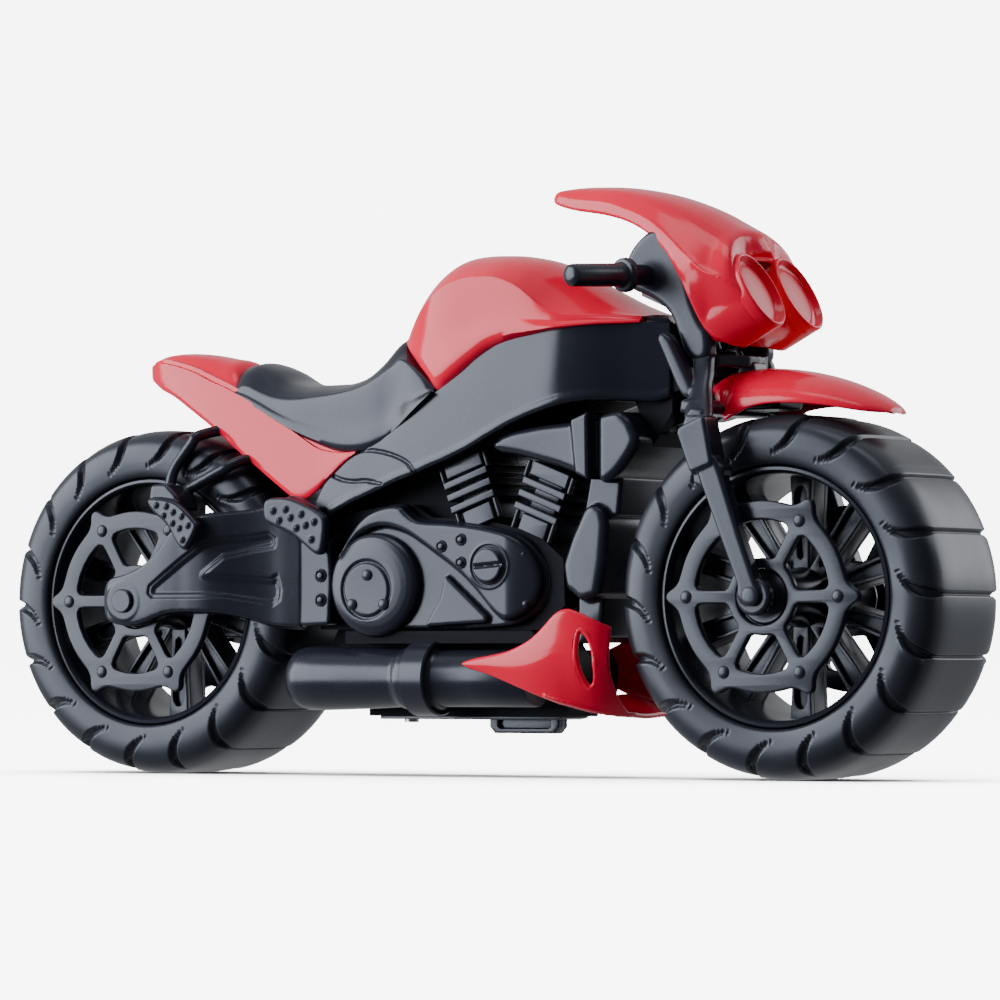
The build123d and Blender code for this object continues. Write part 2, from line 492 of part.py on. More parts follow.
# servo body behind the head tube, leaned with it, its gear on top
spl = Plane(origin=on_axis(GEAR_S - 1.0, 15.05), x_dir=(-STEER_D[2], 0, STEER_D[0]), z_dir=STEER_D)
servo_body = Solid.make_box(11.0, 12.0, 15.0, Plane(origin=spl.from_local_coords(Vector(-5.4, -6.0, -15.0)), x_dir=spl.x_dir, z_dir=spl.z_dir))
node("steering_servo", cut(servo_body, cyl(on_axis(GEAR_S - 6.0, 15.05), STEER_D, 1.5 + RUN, 8)))
sg = fuse(servo_gear, cyl(on_axis(GEAR_S - 5.6, 15.05), STEER_D, 1.5, 6.0))
node("servo_gear", sg)

bb_pts = [(-38, 88), (-34, 96), (-8, 112), (14, 124), (34, 130), (50, 132), (50, 114.5), (34, 109), (10, 99.5), (0, 95.4), (-10, 90.5), (-24, 84.0), (-38, 82.2)]
bb = slab(bb_pts, -12.6, 12.6)
down = slab([(62, 112.6), (70, 113.2), (74, 109.5), (60, 92), (50.6, 84.5), (46.0, 86.6), (52.5, 90.5), (58, 97)], -9.0, 9.0)
down = fuse(slab([(60, 113.2), (73, 115.2), (73, 109.5), (66, 99.5)], 7.7, 12.6), slab([(60, 113.2), (73, 115.2), (73, 109.5), (66, 99.5)], -12.6, -7.7),
            slab([(60.0, 103.0), (69.0, 103.0), (59.6, 90.6), (50.6, 82.5), (45.0, 83.6), (51.0, 89.5)], -12.6, 12.6))
sf = slab([(-37, 83.0), (-48, 84), (-60, 91), (-76, 102.6), (-92, 112.6), (-92, 115.6), (-76, 107.6), (-60, 98.6), (-44, 95.4), (-36, 94.0)], -9.0, 9.0)
filler = slab([(-51, 77), (-52, 86), (-38, 90), (-10, 93), (0, 97), (6, 94), (4, 77)], -12.6, 12.6)
chassis = fuse(bb, head, down, sf, filler)
chassis = cut(chassis, NODES["cylinder_rear"], NODES["cylinder_front"], NODES["air_box"], NODES["oil_cooler"], case_solid, servo_body,
              cyl(on_axis(GEAR_S - 16.2), STEER_D, 7.9, 0.01))
node("backbone", keep_big(chassis))


# side spars: ruled loft along x, stations (x, z low, z high, y outer at top, y outer at bottom)
def spar_sec(x, zl, zh, yt, yb, yi=12.7):
    zm = zl + (zh - zl) * 0.25
    return [(x, -yi, zl + 1.0), (x, -yb + 1.6, zl), (x, -yb, zm), (x, -(yt + yb) / 2 - 0.5, (zl + zh) / 2 + 2), (x, -yt, zh - 0.6), (x, -yt + 1.8, zh), (x, -yi, zh)]


spar_secs = [
    spar_sec(-50.0, 79.0, 85.0, 21.6, 22.6), spar_sec(-46.0, 80.6, 91.0, 21.4, 22.6),
    spar_sec(-38.0, 83.2, 97.0, 21.2, 23.0), spar_sec(-30.0, 84.6, 100.8, 21.2, 23.4),
    spar_sec(-20.0, 88.6, 106.3, 21.8, 24.4), spar_sec(-10.0, 92.4, 113.3, 22.4, 25.0), spar_sec(-3.0, 95.2, 118.3, 22.8, 25.2),
    spar_sec(5.0, 98.0, 123.3, 23.4, 25.6), spar_sec(15.0, 102.4, 130.0, 24.0, 26.2), spar_sec(25.0, 107.0, 133.2, 24.6, 26.8),
    spar_sec(35.0, 110.3, 134.9, 24.8, 27.2), spar_sec(41.0, 111.9, 135.7, 24.6, 27.0), spar_sec(50.0, 113.3, 136.6, 22.0, 24.4),
    spar_sec(60.0, 113.0, 137.0, 18.2, 20.2), spar_sec(70.0, 113.2, 137.0, 14.6, 15.6), spar_sec(74.0, 114.6, 136.6, 13.4, 13.8)]
spar = loft(spar_secs)
spar = cut(spar, NODES["primary_cover_right"], NODES["crankcase_right"])
node("frame_right", keep_big(spar))
node("frame_left", [my(q) for q in NODES["frame_right"]])

# tank: closed loft with an upper hump and two side lobes
def tank_sec(x, zl, w, zc, wc, zh, lean=0.0):
    """zl skirt line, w half width at the skirt, (wc, zc) lobe crest, zh crown."""
    return [(x + lean, -w, zl), (x + lean * 0.6, -w - 0.2, zl + (zc - zl) * 0.45), (x + lean * 0.3, -wc, zc), (x, -wc * 0.55, zc + (zh - zc) * 0.62), (x, -wc * 0.2, zh), (x, wc * 0.2, zh),
            (x, wc * 0.55, zc + (zh - zc) * 0.62), (x + lean * 0.3, wc, zc), (x + lean * 0.6, w + 0.2, zl + (zc - zl) * 0.45), (x + lean, w, zl)]


tank_secs = [tank_sec(-27.0, 129.0, 6.0, 131.0, 5.6, 134.4), tank_sec(-23.0, 125.0, 12.5, 132.0, 11.0, 140.4), tank_sec(-18.0, 121.0, 17.0, 135.0, 14.5, 146.6),
             tank_sec(-12.0, 118.0, 20.6, 139.4, 17.2, 151.6), tank_sec(-4.0, 118.0, 22.9, 145.2, 19.4, 156.4), tank_sec(4.0, 122.6, 23.8, 148.6, 20.2, 158.4), tank_sec(14.0, 129.6, 24.4, 150.6, 20.6, 158.6),
             tank_sec(24.0, 133.0, 24.9, 148.4, 20.8, 156.4), tank_sec(34.0, 135.0, 24.8, 144.6, 20.6, 152.8), tank_sec(44.0, 136.2, 23.6, 141.6, 19.6, 148.8),
             tank_sec(54.0, 137.0, 20.2, 139.8, 17.0, 144.2), tank_sec(63.0, 137.3, 16.6, 138.6, 13.0, 140.4)]
tank = loft(tank_secs)
seat_floor = slab([(-52, 60), (-52, 96), (-33, 100.2), (-20, 106.5), (-10, 113.6), (-3, 118.5), (5, 123.6), (15, 130.3), (25, 133.5), (35, 135.2), (50, 136.9), (75, 137.3), (75, 60)], -40, 40)
tank = cut(tank, seat_floor, NODES["backbone"], NODES["frame_right"], NODES["frame_left"])
node("fuel_tank", keep_big(tank))

# seat: dished loft
def seat_sec(x, zl, zt, ze, w, wl):
    """zt centre height, ze edge height, w half width at the top, wl half width at the bottom."""
    return [(x, -wl, zl), (x, -w - 0.6, (zl + ze) / 2), (x, -w, ze - 1.0), (x, -w + 2.0, ze), (x, -w * 0.4, zt), (x, w * 0.4, zt),
            (x, w - 2.0, ze), (x, w, ze - 1.0), (x, w + 0.6, (zl + ze) / 2), (x, wl, zl)]


seat_secs = [seat_sec(-83.0, 118.6, 119.6, 120.4, 12.0, 13.0), seat_sec(-77.0, 116.6, 125.6, 125.2, 13.4, 15.0), seat_sec(-70.0, 112.9, 127.0, 126.4, 14.6, 16.4),
             seat_sec(-63.0, 109.0, 125.6, 125.0, 15.4, 17.4), seat_sec(-56.0, 105.2, 121.4, 121.6, 16.0, 18.6), seat_sec(-50.0, 102.4, 119.6, 120.0, 16.8, 19.6),
             seat_sec(-40.0, 100.1, 119.3, 120.0, 18.0, 20.6), seat_sec(-31.0, 101.0, 120.0, 120.6, 18.6, 21.4), seat_sec(-25.0, 104.0, 122.8, 123.0, 18.6, 22.0),
             seat_sec(-19.0, 107.8, 128.4, 128.2, 17.4, 22.4), seat_sec(-12.0, 112.6, 132.6, 132.0, 15.0, 22.6), seat_sec(-4.0, 118.0, 122.0, 119.4, 12.0, 22.4)]
seat = loft(seat_secs)
seat = cut(seat, slab([(-90, 60), (-90, 121.0), (-80, 118.0), (-70, 112.8), (-60, 107.3), (-50, 102.3), (-45, 100.7), (-40, 100.0), (-33, 100.2), (-20, 106.5), (-10, 113.6), (-3, 118.5), (5, 123.6), (5, 60)], -40, 40),
           NODES["fuel_tank"], NODES["backbone"])
node("seat", keep_big(seat))

# tail cowl: top skin with two deep side panels
def tail_sec(x, zt, zf, zb, wt, wf, wb, th=2.0, skin=2.2):
    """zt centre top, zf top edge of the side panel, zb bottom of the panel."""
    return [(x, -wb, zb), (x, -wf - 0.6, (zf + zb) / 2), (x, -wf, zf - 0.5), (x, -wf + 1.2, zf), (x, -wt, zt - 0.7), (x, 0, zt), (x, wt, zt - 0.7), (x, wf - 1.2, zf), (x, wf, zf - 0.5),
            (x, wf + 0.6, (zf + zb) / 2), (x, wb, zb),
            (x, wb - th, zb), (x, wf - th, min((zf + zb) / 2, zf - skin - 0.3)), (x, wf - th - 0.2, zf - skin), (x, -wf + th + 0.2, zf - skin), (x, -wf + th, min((zf + zb) / 2, zf - skin - 0.3)), (x, -wb + th, zb)]


tail_secs = [tail_sec(-121.5, 129.0, 127.4, 124.4, 4.0, 6.4, 6.6, 1.4, 1.6), tail_sec(-115.0, 131.2, 129.6, 121.0, 6.0, 9.0, 9.4), tail_sec(-106.0, 132.2, 128.6, 118.0, 7.6, 11.4, 12.0),
             tail_sec(-96.0, 131.6, 124.6, 112.4, 9.0, 13.6, 14.6), tail_sec(-86.0, 129.6, 120.4, 105.6, 10.0, 15.4, 16.8), tail_sec(-80.0, 124.0, 118.2, 101.8, 10.6, 16.2, 18.0),
             tail_sec(-72.0, 115.6, 113.8, 96.4, 11.0, 17.4, 19.2), tail_sec(-62.0, 110.0, 108.2, 89.8, 11.4, 18.8, 20.4), tail_sec(-53.0, 104.4, 103.4, 86.6, 11.8, 19.8, 21.0),
             tail_sec(-45.0, 101.2, 100.6, 91.2, 12.0, 20.4, 21.2), tail_sec(-37.0, 99.8, 99.5, 96.9, 12.0, 20.8, 21.0, 2.0, 1.4)]
tail = loft(tail_secs)
tail = cut(tail, NODES["seat"], NODES["frame_right"], NODES["frame_left"])
node("tail_cowl", keep_big(tail))

NODES["backbone"] = keep_big(cut(NODES["backbone"], NODES["tail_cowl"], NODES["seat"], NODES["fuel_tank"]))

# ---------------------------------------------------------------- swingarm
def arm_sec(x, zl, zh, yi, yo):
    return [(x, -yi, zl), (x, -yo + 0.8, zl), (x, -yo, zl + 1.2), (x, -yo, zh - 1.2), (x, -yo + 0.8, zh), (x, -yi, zh)]


arm_secs = [arm_sec(-121.0, 50.0, 58.0, 29.6, 34.2), arm_sec(-118.5, 47.6, 60.6, 29.6, 34.6), arm_sec(-112.7, 46.6, 62.0, 29.6, 34.8), arm_sec(-106.5, 47.2, 64.4, 29.6, 34.8),
            arm_sec(-100.6, 49.3, 69.0, 29.6, 34.6), arm_sec(-96.0, 50.3, 75.0, 29.6, 34.2), arm_sec(-92.5, 50.5, 78.4, 29.6, 33.8), arm_sec(-88.0, 50.5, 80.0, 29.6, 33.2),
            arm_sec(-79.0, 50.0, 81.0, 29.4, 31.6), arm_sec(-72.0, 48.8, 80.6, 24.6, 29.0), arm_sec(-66.0, 46.8, 79.0, 22.9, 27.4), arm_sec(-58.0, 45.7, 74.6, 22.9, 25.6), arm_sec(-57.9, 45.7, 74.5, 18.0, 25.6),
            arm_sec(-51.0, 45.5, 73.0, 18.0, 24.6), arm_sec(-43.0, 45.5, 72.0, 18.0, 24.4)]
arm = loft(arm_secs)
arm_r = cut(arm, cyl_y(-HUB_X, HUB_Z, 4.0, -33.6, 0), NODES["primary_cover_right"], pul_r, NODES["crankcase_right"], NODES["frame_right"])
node("swingarm_right", keep_big(arm_r))
gb_pts = [(-125.6, 54), (-123.5, 61), (-118.0, 66.2), (-108.5, 70.5), (-103.0, 76.0), (-97.0, 79.6), (-90.0, 80.6), (-66.0, 80.6), (-56.0, 78.0), (-45.0, 73.4), (-41.6, 70.4), (-41.6, 58.0),
          (-46.0, 49.4), (-62.0, 48.6), (-80.0, 49.2), (-95.0, 49.6), (-104.0, 44.0), (-113.0, 41.2), (-121.0, 44.0)]
gi_pts = [(-124.2, 54), (-122.4, 60.3), (-117.2, 65.0), (-107.6, 69.3), (-102.1, 74.9), (-96.6, 78.3), (-90.0, 79.4), (-66.2, 79.4), (-56.6, 76.9), (-46.0, 72.4), (-42.8, 69.6), (-42.8, 58.6),
          (-46.6, 50.6), (-62.0, 49.8), (-80.0, 50.4), (-95.4, 50.9), (-104.6, 45.3), (-113.0, 42.5), (-120.2, 45.2)]
gb = cut(fuse(slab(gb_pts, 29.6, 34.0), cyl_y(-HUB_X, HUB_Z, 13.2, 29.6, 34.0)), slab(gi_pts, 30.4, 35.0), cyl_y(-HUB_X, HUB_Z, 12.0, 30.4, 35.0), cyl_y(-HUB_X, HUB_Z, 4.0, 0, 60), cyl_y(P0[0], P0[1], 2.0, 0, 60))
gstrut = cut(slab([(-57.6, 46.5), (-57.6, 78.0), (-45, 73.4), (-41.8, 70.4), (-41.8, 58), (-46, 49.4)], CASE_HW + 0.001, 29.6), cyl_y(P0[0], P0[1], 2.0, 0, 60), NODES["primary_cover_left"],
             pul_l, NODES["crankcase_left"], NODES["frame_left"])
gb = fuse(gb, gstrut)
gb = cut(gb, *[cyl_y(c[0], c[1], 1.5, 0, 60) for c in (B0, C0)], NODES["primary_cover_left"], pul_l, NODES["frame_left"])
node("swingarm_left", keep_big(gb))
gc = cut(fuse(slab(gb_pts, 34.0, 35.2), cyl_y(-HUB_X, HUB_Z, 13.2, 34.0, 35.2)), *[cyl_y(c[0], c[1], 1.5, 0, 34.1) for c in (B0, C0)])
node("gearbox_cover", keep_big(gc))
node("rear_axle_bushes", [cut(cyl_y(-HUB_X, HUB_Z, 4.0, -33.6, -29.6), cyl_y(-HUB_X, HUB_Z, AXLE_R + RUN, -60, 60))[0],
                          cut(cyl_y(-HUB_X, HUB_Z, 4.0, 29.6, 30.4), cyl_y(-HUB_X, HUB_Z, AXLE_R + RUN, -60, 60))[0]])
sb = [cyl_y(-HUB_X, HUB_Z, 3.6, -36.0, -34.8), cyl_y(-HUB_X, HUB_Z, 3.6, 35.2, 36.2)]
for z in (61.5, 54.0):
    sb.append(cyl_y(-44.8, z, 1.9, -25.6, -24.45))
for x, z in ((-104.5, 72.6), (-66.0, 78.6), (-104.5, 46.4), (-50.0, 52.0), (-81.0, 52.2)):
    sb.append(cyl_y(x, z, 1.4, 35.2, 35.9))
node("swingarm_bolts", cut(sb, NODES["swingarm_right"], NODES["gearbox_cover"]))

# ---------------------------------------------------------------- foot plates and their brackets
fp_mid = [(-64, 85), (-64.4, 80), (-62, 77.5), (-54, 74), (-47, 69), (-44, 68), (-42.6, 70), (-42, 78), (-44, 80.6), (-50, 83.6), (-56, 85.4)]
fp_rear = [(-100.8, 85.2), (-95.8, 85.2), (-89.8, 83.7), (-83.3, 78.2), (-82.3, 76.2), (-85.8, 70.7), (-87.3, 69.7), (-89.8, 71.7), (-93.8, 77.7), (-98.8, 81.7)]
fm = slab(fp_mid, -29.6, -25.9)
fm = fuse(fm, slab([(-60, 79.5), (-46, 73.5), (-46, 79.5), (-56, 83.5)], -25.9, -21.6))
fm = cut(fm, NODES["swingarm_right"], NODES["frame_right"], NODES["primary_cover_right"], NODES["crankcase_right"], pul_r, NODES["tail_cowl"])
fm = keep_big(fm)
fml = cut([my(q) for q in slab(fp_mid, -29.6, -25.9).solids()], NODES["swingarm_left"], NODES["frame_left"])
fml = fuse(fml, cut(my(slab([(-60, 79.5), (-46, 73.5), (-46, 79.5), (-56, 83.5)], -25.9, -21.6)), NODES["swingarm_left"], NODES["frame_left"], NODES["tail_cowl"],
                    NODES["primary_cover_left"], NODES["crankcase_left"]))
node("rider_footplates", fm + keep_big(fml))
fr = slab(fp_rear, -38.8, -35.6)
def bar_loft(path, a, b):
    """Square bar through a path: a in the XZ plane, b sideways."""
    secs = []
    for i, p in enumerate(path):
        q0, q1 = Vector(*path[max(i - 1, 0)]), Vector(*path[min(i + 1, len(path) - 1)])
        t = (q1 - q0).normalized()
        n2 = (Vector(0, 1, 0) - t * t.Y).normalized()
        n1 = t.cross(n2)
        v = Vector(*p)
        secs.append([tuple(v + n1 * x + n2 * y) for x, y in ((-a, -b), (a, -b), (a, b), (-a, b))])
    return loft(secs)


REST_ARM1 = [(-99.6, -29.4, 85.4), (-100.4, -27.4, 89.3), (-99.8, -25.4, 95.4), (-94.6, -23.6, 103.1), (-93.6, -22.6, 105.2), (-91.5, -17.5, 106.8), (-87.6, -11.8, 108.2), (-84.0, -8.4, 109.4)]
REST_ARM2 = [(-97.6, -29.4, 85.8), (-94.2, -26.6, 88.5), (-84.0, -24.8, 93.8), (-80.5, -23.8, 95.6), (-78.0, -20.0, 97.6), (-75.5, -16.5, 97.8), (-70.0, -12.0, 97.6), (-66.0, -8.4, 97.6)]
br = fuse(bar_loft(REST_ARM1, 1.6, 1.5), bar_loft(REST_ARM2, 1.6, 1.5), slab([(-102.0, 84.6), (-96, 82.8), (-90.0, 82.4), (-91.0, 86.0), (-96.0, 89.6), (-101.4, 89.6)], -35.6, -25.6), fr)
br = cut(br, NODES["tail_cowl"], NODES["swingarm_right"], NODES["backbone"], NODES["seat"], cyl_y(-HUB_X, HUB_Z, 33.4, -29.6, -20))
br = keep_big(br)
node("pillion_footrests", br + keep_big(cut([my(q) for q in br], NODES["swingarm_left"], NODES["gearbox_cover"])))

# ---------------------------------------------------------------- belly: pan, mufflers, spoiler, battery
pan = slab([(-38, 18.4), (-38, 44.4), (29, 44.4), (29, 40.0), (36, 30), (34, 18.4)], -8.6, 8.6)
pan = cut(pan, box(-34.6, 24.6, -6.6, 6.6, 10, 42.4))
rail = fuse(slab([(-38, 40.6), (-38, 44.4), (29, 44.4), (32, 42.0), (28, 40.6)], -22.0, -8.6), slab([(-38, 40.6), (-38, 44.4), (29, 44.4), (32, 42.0), (28, 40.6)], 8.6, 22.0))
pan = cut(fuse(pan, rail, slab([(-52, 40.6), (-49.6, 44.98), (-38, 44.98), (-37, 43), (-37, 38.6)], -8.6, 8.6)), pul_r, pul_l)
# power switch: slot in the pan's rear wall, slider with a knob outside and a flange inside
pan = cut(pan, box(-39, -34, -1.7, 1.7, 29.7, 37.7))
node("power_switch", fuse(box(-38.3, -34.3, -1.55, 1.55, 30.2, 33.2), box(-40.0, -38.3, -2.4, 2.4, 29.4, 34.0), box(-34.3, -33.4, -2.6, 2.6, 28.9, 34.5)))
node("belly_pan", keep_big(pan))
bat = [cyl((-24.0, 0.0, 35.4), (1, 0, 0), 5.2, 44.0), cyl((-24.0, 0.0, 24.8), (1, 0, 0), 5.2, 44.0)]
node("battery_cells", bat)
door = box(-34.4, 24.4, -6.4, 6.4, 17.4, 19.2)
loopb = cut(slab([(2.0, 18.0), (2.0, 15.0), (3.6, 13.2), (25.4, 13.2), (27.0, 15.0), (27.0, 18.0)], -2.6, 2.6),
            slab([(5.0, 15.2), (5.6, 14.9), (23.4, 14.9), (24.0, 15.2), (24.0, 17.2), (5.0, 17.2)], -4, -1.2), slab([(5.0, 15.2), (5.6, 14.9), (23.4, 14.9), (24.0, 15.2), (24.0, 17.2), (5.0, 17.2)], 1.2, 4))
door = fuse(door, slab([(-34.4, 17.4), (-34.4, 18.39), (31.0, 18.39), (31.0, 17.4)], -8.0, 8.0), loopb)
door = cut(door, cyl((-28.0, 0, 10), (0, 0, 1), 1.2, 20), NODES["belly_pan"])
door = keep_big(door)
node("battery_door", door)
node("battery_door_screw", fuse(cyl((-28.0, 0, 16.4), (0, 0, 1), 2.2, 1.0), cyl((-28.0, 0, 17.3), (0, 0, 1), 1.2, 6.0)))
case_low = slab([(-36, 44.4), (-36, 45.0), (27, 45.0), (27, 44.4)], -8.6, 8.6)
NODES["belly_pan"] = keep_big(fuse(NODES["belly_pan"], cut(case_low, NODES["crankcase_right"], NODES["crankcase_left"])))

mf = fuse(cyl((-56.0, -MUFF_Y, MUFF_Z), (1, 0, 0), MUFF_R, 86.0), Solid.make_cone(8.2, MUFF_R, 1.8, Plane(origin=(-57.8, -MUFF_Y, MUFF_Z), z_dir=(1, 0, 0))))
mf = cut(mf, NODES["belly_pan"])
mf = keep_big(mf)
band = cut(cyl((-13.0, -MUFF_Y, MUFF_Z), (1, 0, 0), MUFF_R + 1.8, 9.0), cyl((-14.0, -MUFF_Y, MUFF_Z), (1, 0, 0), MUFF_R, 12.0), NODES["belly_pan"])
node("mufflers", mf + [my(q) for q in mf])
node("muffler_bands", keep_big(band) + [my(q) for q in keep_big(band)])

# belly spoiler: scoop that wraps the front of the belly
sp_out = [(8, 34.5), (10, 36), (20, 37.2), (25, 38.4), (32, 41.2), (36, 44.6), (40, 48.4), (45, 50), (50, 48.6), (55, 46.4), (55.6, 30), (54.0, 19.0), (50, 19.6), (40, 23), (30, 26.5), (20, 31), (10, 33)]
spo = slab(sp_out, -30.8, -27.2)
bridge_sp = slab([(40, 22.4), (40, 30.0), (46, 34.0), (54, 31.0), (53.6, 18.6), (50, 18.6)], -27.2, 27.2)
spoiler = fuse(spo, my(spo), bridge_sp)
spoiler = cut(spoiler, NODES["belly_pan"], NODES["mufflers"], NODES["oil_cooler"],
              slab([(48.6, 44), (51.6, 43), (52.6, 38), (51.4, 30), (49.6, 27.8), (48.0, 31), (47.4, 38)], -40, -26), my(slab([(48.6, 44), (51.6, 43), (52.6, 38), (51.4, 30), (49.6, 27.8), (48.0, 31), (47.4, 38)], -40, -26)))
node("belly_spoiler", keep_big(spoiler))

NODES["primary_covers"] = NODES.pop("primary_cover_right") + NODES.pop("primary_cover_left")
# waisted necks from the riser plates down to the tops of the fork legs
NECK = [((86.5, -17.2, 124.6), 3.6), ((88.4, -20.0, 120.5), 3.1), ((89.3, -22.6, 116.5), 2.8), ((91.0, -27.0, 111.0), 3.8), ((92.8, -31.0, 106.6), 4.6)]
neck_secs = []
for (x, y, z), a in NECK:
    neck_secs.append([(x - a, y - 2.4, z), (x + a, y - 2.4, z), (x + a, y + 2.4, z), (x - a, y + 2.4, z)])
neck_r = cut(loft(neck_secs), NODES["cowl_bracket"], NODES["fork_leg_right"], NODES["front_mudguard"], NODES["steering_stem"])
neck_r = keep_big(neck_r)
NODES["fork_crown"] = keep_big(fuse(NODES["fork_crown"], neck_r, [my(q) for q in neck_r], NODES.pop("fork_gussets")), 3)
for k, v in NODES.items():
    v = [q for q in v if q.volume > 0.01]
    NODES[k] = v
    shp = v[0] if len(v) == 1 else Compound(v)
    export_step(shp, "parts/" + k + ".step")
print(len(NODES), "nodes")
tot = [min(q.bounding_box().min.X for v in NODES.values() for q in v), max(q.bounding_box().max.X for v in NODES.values() for q in v),
       min(q.bounding_box().min.Y for v in NODES.values() for q in v), max(q.bounding_box().max.Y for v in NODES.values() for q in v),
       min(q.bounding_box().min.Z for v in NODES.values() for q in v), max(q.bounding_box().max.Z for v in NODES.values() for q in v)]
print([round(t, 2) for t in tot])
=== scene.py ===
import math, json
import bpy, bmesh
import numpy as np
from mathutils import Vector, Matrix


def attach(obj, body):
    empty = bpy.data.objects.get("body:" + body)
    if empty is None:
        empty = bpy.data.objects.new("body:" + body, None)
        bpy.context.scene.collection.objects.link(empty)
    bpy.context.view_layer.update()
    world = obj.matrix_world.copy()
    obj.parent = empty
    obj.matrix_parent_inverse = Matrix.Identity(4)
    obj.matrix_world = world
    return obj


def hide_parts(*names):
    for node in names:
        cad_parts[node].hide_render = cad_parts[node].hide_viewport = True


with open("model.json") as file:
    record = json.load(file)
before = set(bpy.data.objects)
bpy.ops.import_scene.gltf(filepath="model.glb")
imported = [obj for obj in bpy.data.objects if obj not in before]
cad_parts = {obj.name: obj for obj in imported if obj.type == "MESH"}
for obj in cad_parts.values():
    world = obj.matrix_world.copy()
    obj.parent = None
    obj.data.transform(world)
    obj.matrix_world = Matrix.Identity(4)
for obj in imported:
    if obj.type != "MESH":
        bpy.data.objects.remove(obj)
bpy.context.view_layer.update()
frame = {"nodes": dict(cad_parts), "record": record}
NODE = frame["nodes"]
MM = 0.001
pi = math.pi
sin, cos, rad = math.sin, math.cos, math.radians
HUB_X, HUB_Z, R = 112.68, 54.0, 54.0
STEER_P = (78.0, 0.0, 130.0)
STEER_D = (-0.33292, 0.0, 0.94296)


# ------------------------------------------------------------------ mesh tools
def mk(name, verts, faces):
    me = bpy.data.meshes.new(name)
    me.from_pydata([tuple(c * MM for c in v) for v in verts], [], faces)
    me.validate()
    o = bpy.data.objects.new(name, me)
    bpy.context.scene.collection.objects.link(o)
    fixn(o)
    return o


def fixn(o):
    bm = bmesh.new()
    bm.from_mesh(o.data)
    bmesh.ops.remove_doubles(bm, verts=bm.verts, dist=1e-6)
    bmesh.ops.recalc_face_normals(bm, faces=bm.faces)
    bm.to_mesh(o.data)
    bm.free()


def bake(o):
    dg = bpy.context.evaluated_depsgraph_get()
    me = bpy.data.meshes.new_from_object(o.evaluated_get(dg))
    o.modifiers.clear()
    if o.type == "MESH":
        old = o.data
        o.data = me
        bpy.data.meshes.remove(old)
        return o
    n = bpy.data.objects.new(o.name + "_m", me)
    bpy.context.scene.collection.objects.link(n)
    nm = o.name
    bpy.data.objects.remove(o)
    n.name = nm
    return n


def sub(o, n=2):
    m = o.modifiers.new("s", "SUBSURF")
    m.levels = m.render_levels = n
    return bake(o)


def join(objs, name=None):
    objs = [o for o in objs if o]
    bm = bmesh.new()
    for o in objs:
        t = bpy.data.meshes.new("t")
        b2 = bmesh.new()
        b2.from_mesh(o.data)
        b2.transform(o.matrix_world)
        b2.to_mesh(t)
        b2.free()
        bm.from_mesh(t)
        bpy.data.meshes.remove(t)
    nm = name or objs[0].name
    for o in objs:
        d = o.data
        bpy.data.objects.remove(o)
        bpy.data.meshes.remove(d)
    me = bpy.data.meshes.new(nm)
    bm.to_mesh(me)
    bm.free()
    o = bpy.data.objects.new(nm, me)
    bpy.context.scene.collection.objects.link(o)
    return o


def mould(objs, voxel=0.45, it=4, name=None):
    """Joins solids into one moulded piece with soft inside corners."""
    o = join(objs, name)
    m = o.modifiers.new("r", "REMESH")
    m.mode = "VOXEL"
    m.voxel_size = voxel * MM
    m.use_smooth_shade = True
    if it:
        s = o.modifiers.new("s", "SMOOTH")
        s.factor = 0.5
        s.iterations = it
    return bake(o)


def mirror_copy(o, name):
    me = o.data.copy()
    n = bpy.data.objects.new(name, me)
    bpy.context.scene.collection.objects.link(n)
    co = np.zeros(len(me.vertices) * 3)
    me.vertices.foreach_get("co", co)
    co = co.reshape(-1, 3)
    co[:, 1] *= -1
    me.vertices.foreach_set("co", co.ravel())
    me.flip_normals()
    return n


def catmull(pts, n=4, closed=True):
    out = []
    m = len(pts)
    for i in range(m if closed else m - 1):
        if closed:
            p = [pts[i - 1], pts[i], pts[(i + 1) % m], pts[(i + 2) % m]]
        else:
            p = [pts[max(i - 1, 0)], pts[i], pts[i + 1], pts[min(i + 2, m - 1)]]
        for k in range(n):
            t = k / n
            out.append(tuple(0.5 * (2 * b + (c - a) * t + (2 * a - 5 * b + 4 * c - d) * t * t + (3 * b - a - 3 * c + d) * t ** 3)
                             for a, b, c, d in zip(*p)))
    if not closed:
        out.append(tuple(pts[-1]))
    return out


def round_poly(pts, r, n=4):
    """Closed outline with its corners rounded to about r."""
    out = []
    m = len(pts)
    for i in range(m):
        a, b, c = (np.array(pts[i - 1], float), np.array(pts[i], float), np.array(pts[(i + 1) % m], float))
        la, lc = np.linalg.norm(a - b), np.linalg.norm(c - b)
        d = min(r, la * 0.45, lc * 0.45)
        p0, p2 = b + (a - b) / max(la, 1e-9) * d, b + (c - b) / max(lc, 1e-9) * d
        for k in range(n + 1):
            t = k / n
            q = (1 - t) ** 2 * p0 + 2 * t * (1 - t) * b + t * t * p2
            out.append((float(q[0]), float(q[1])))
    return out


def grid_loft(name, secs, closed_ring=True, caps=True):
    """Rings of equal length, in mm."""
    n = len(secs[0])
    V = [p for s in secs for p in s]
    F = []
    for i in range(len(secs) - 1):
        for j in range(n if closed_ring else n - 1):
            k = (j + 1) % n
            F.append((i * n + j, i * n + k, (i + 1) * n + k, (i + 1) * n + j))
    if caps:
        F.append(tuple(range(n)))
        F.append(tuple((len(secs) - 1) * n + j for j in reversed(range(n))))
    return mk(name, V, F)


def spline_loft(name, secs, along=5, around=4, caps=True):
    """Catmull-Rom through the rings both ways. A repeated point is a crease."""
    rings = [catmull(s, around, True) for s in secs]
    cols = [catmull([r[j] for r in rings], along, False) for j in range(len(rings[0]))]
    rings2 = [[cols[j][i] for j in range(len(cols))] for i in range(len(cols[0]))]
    return grid_loft(name, rings2, True, caps)


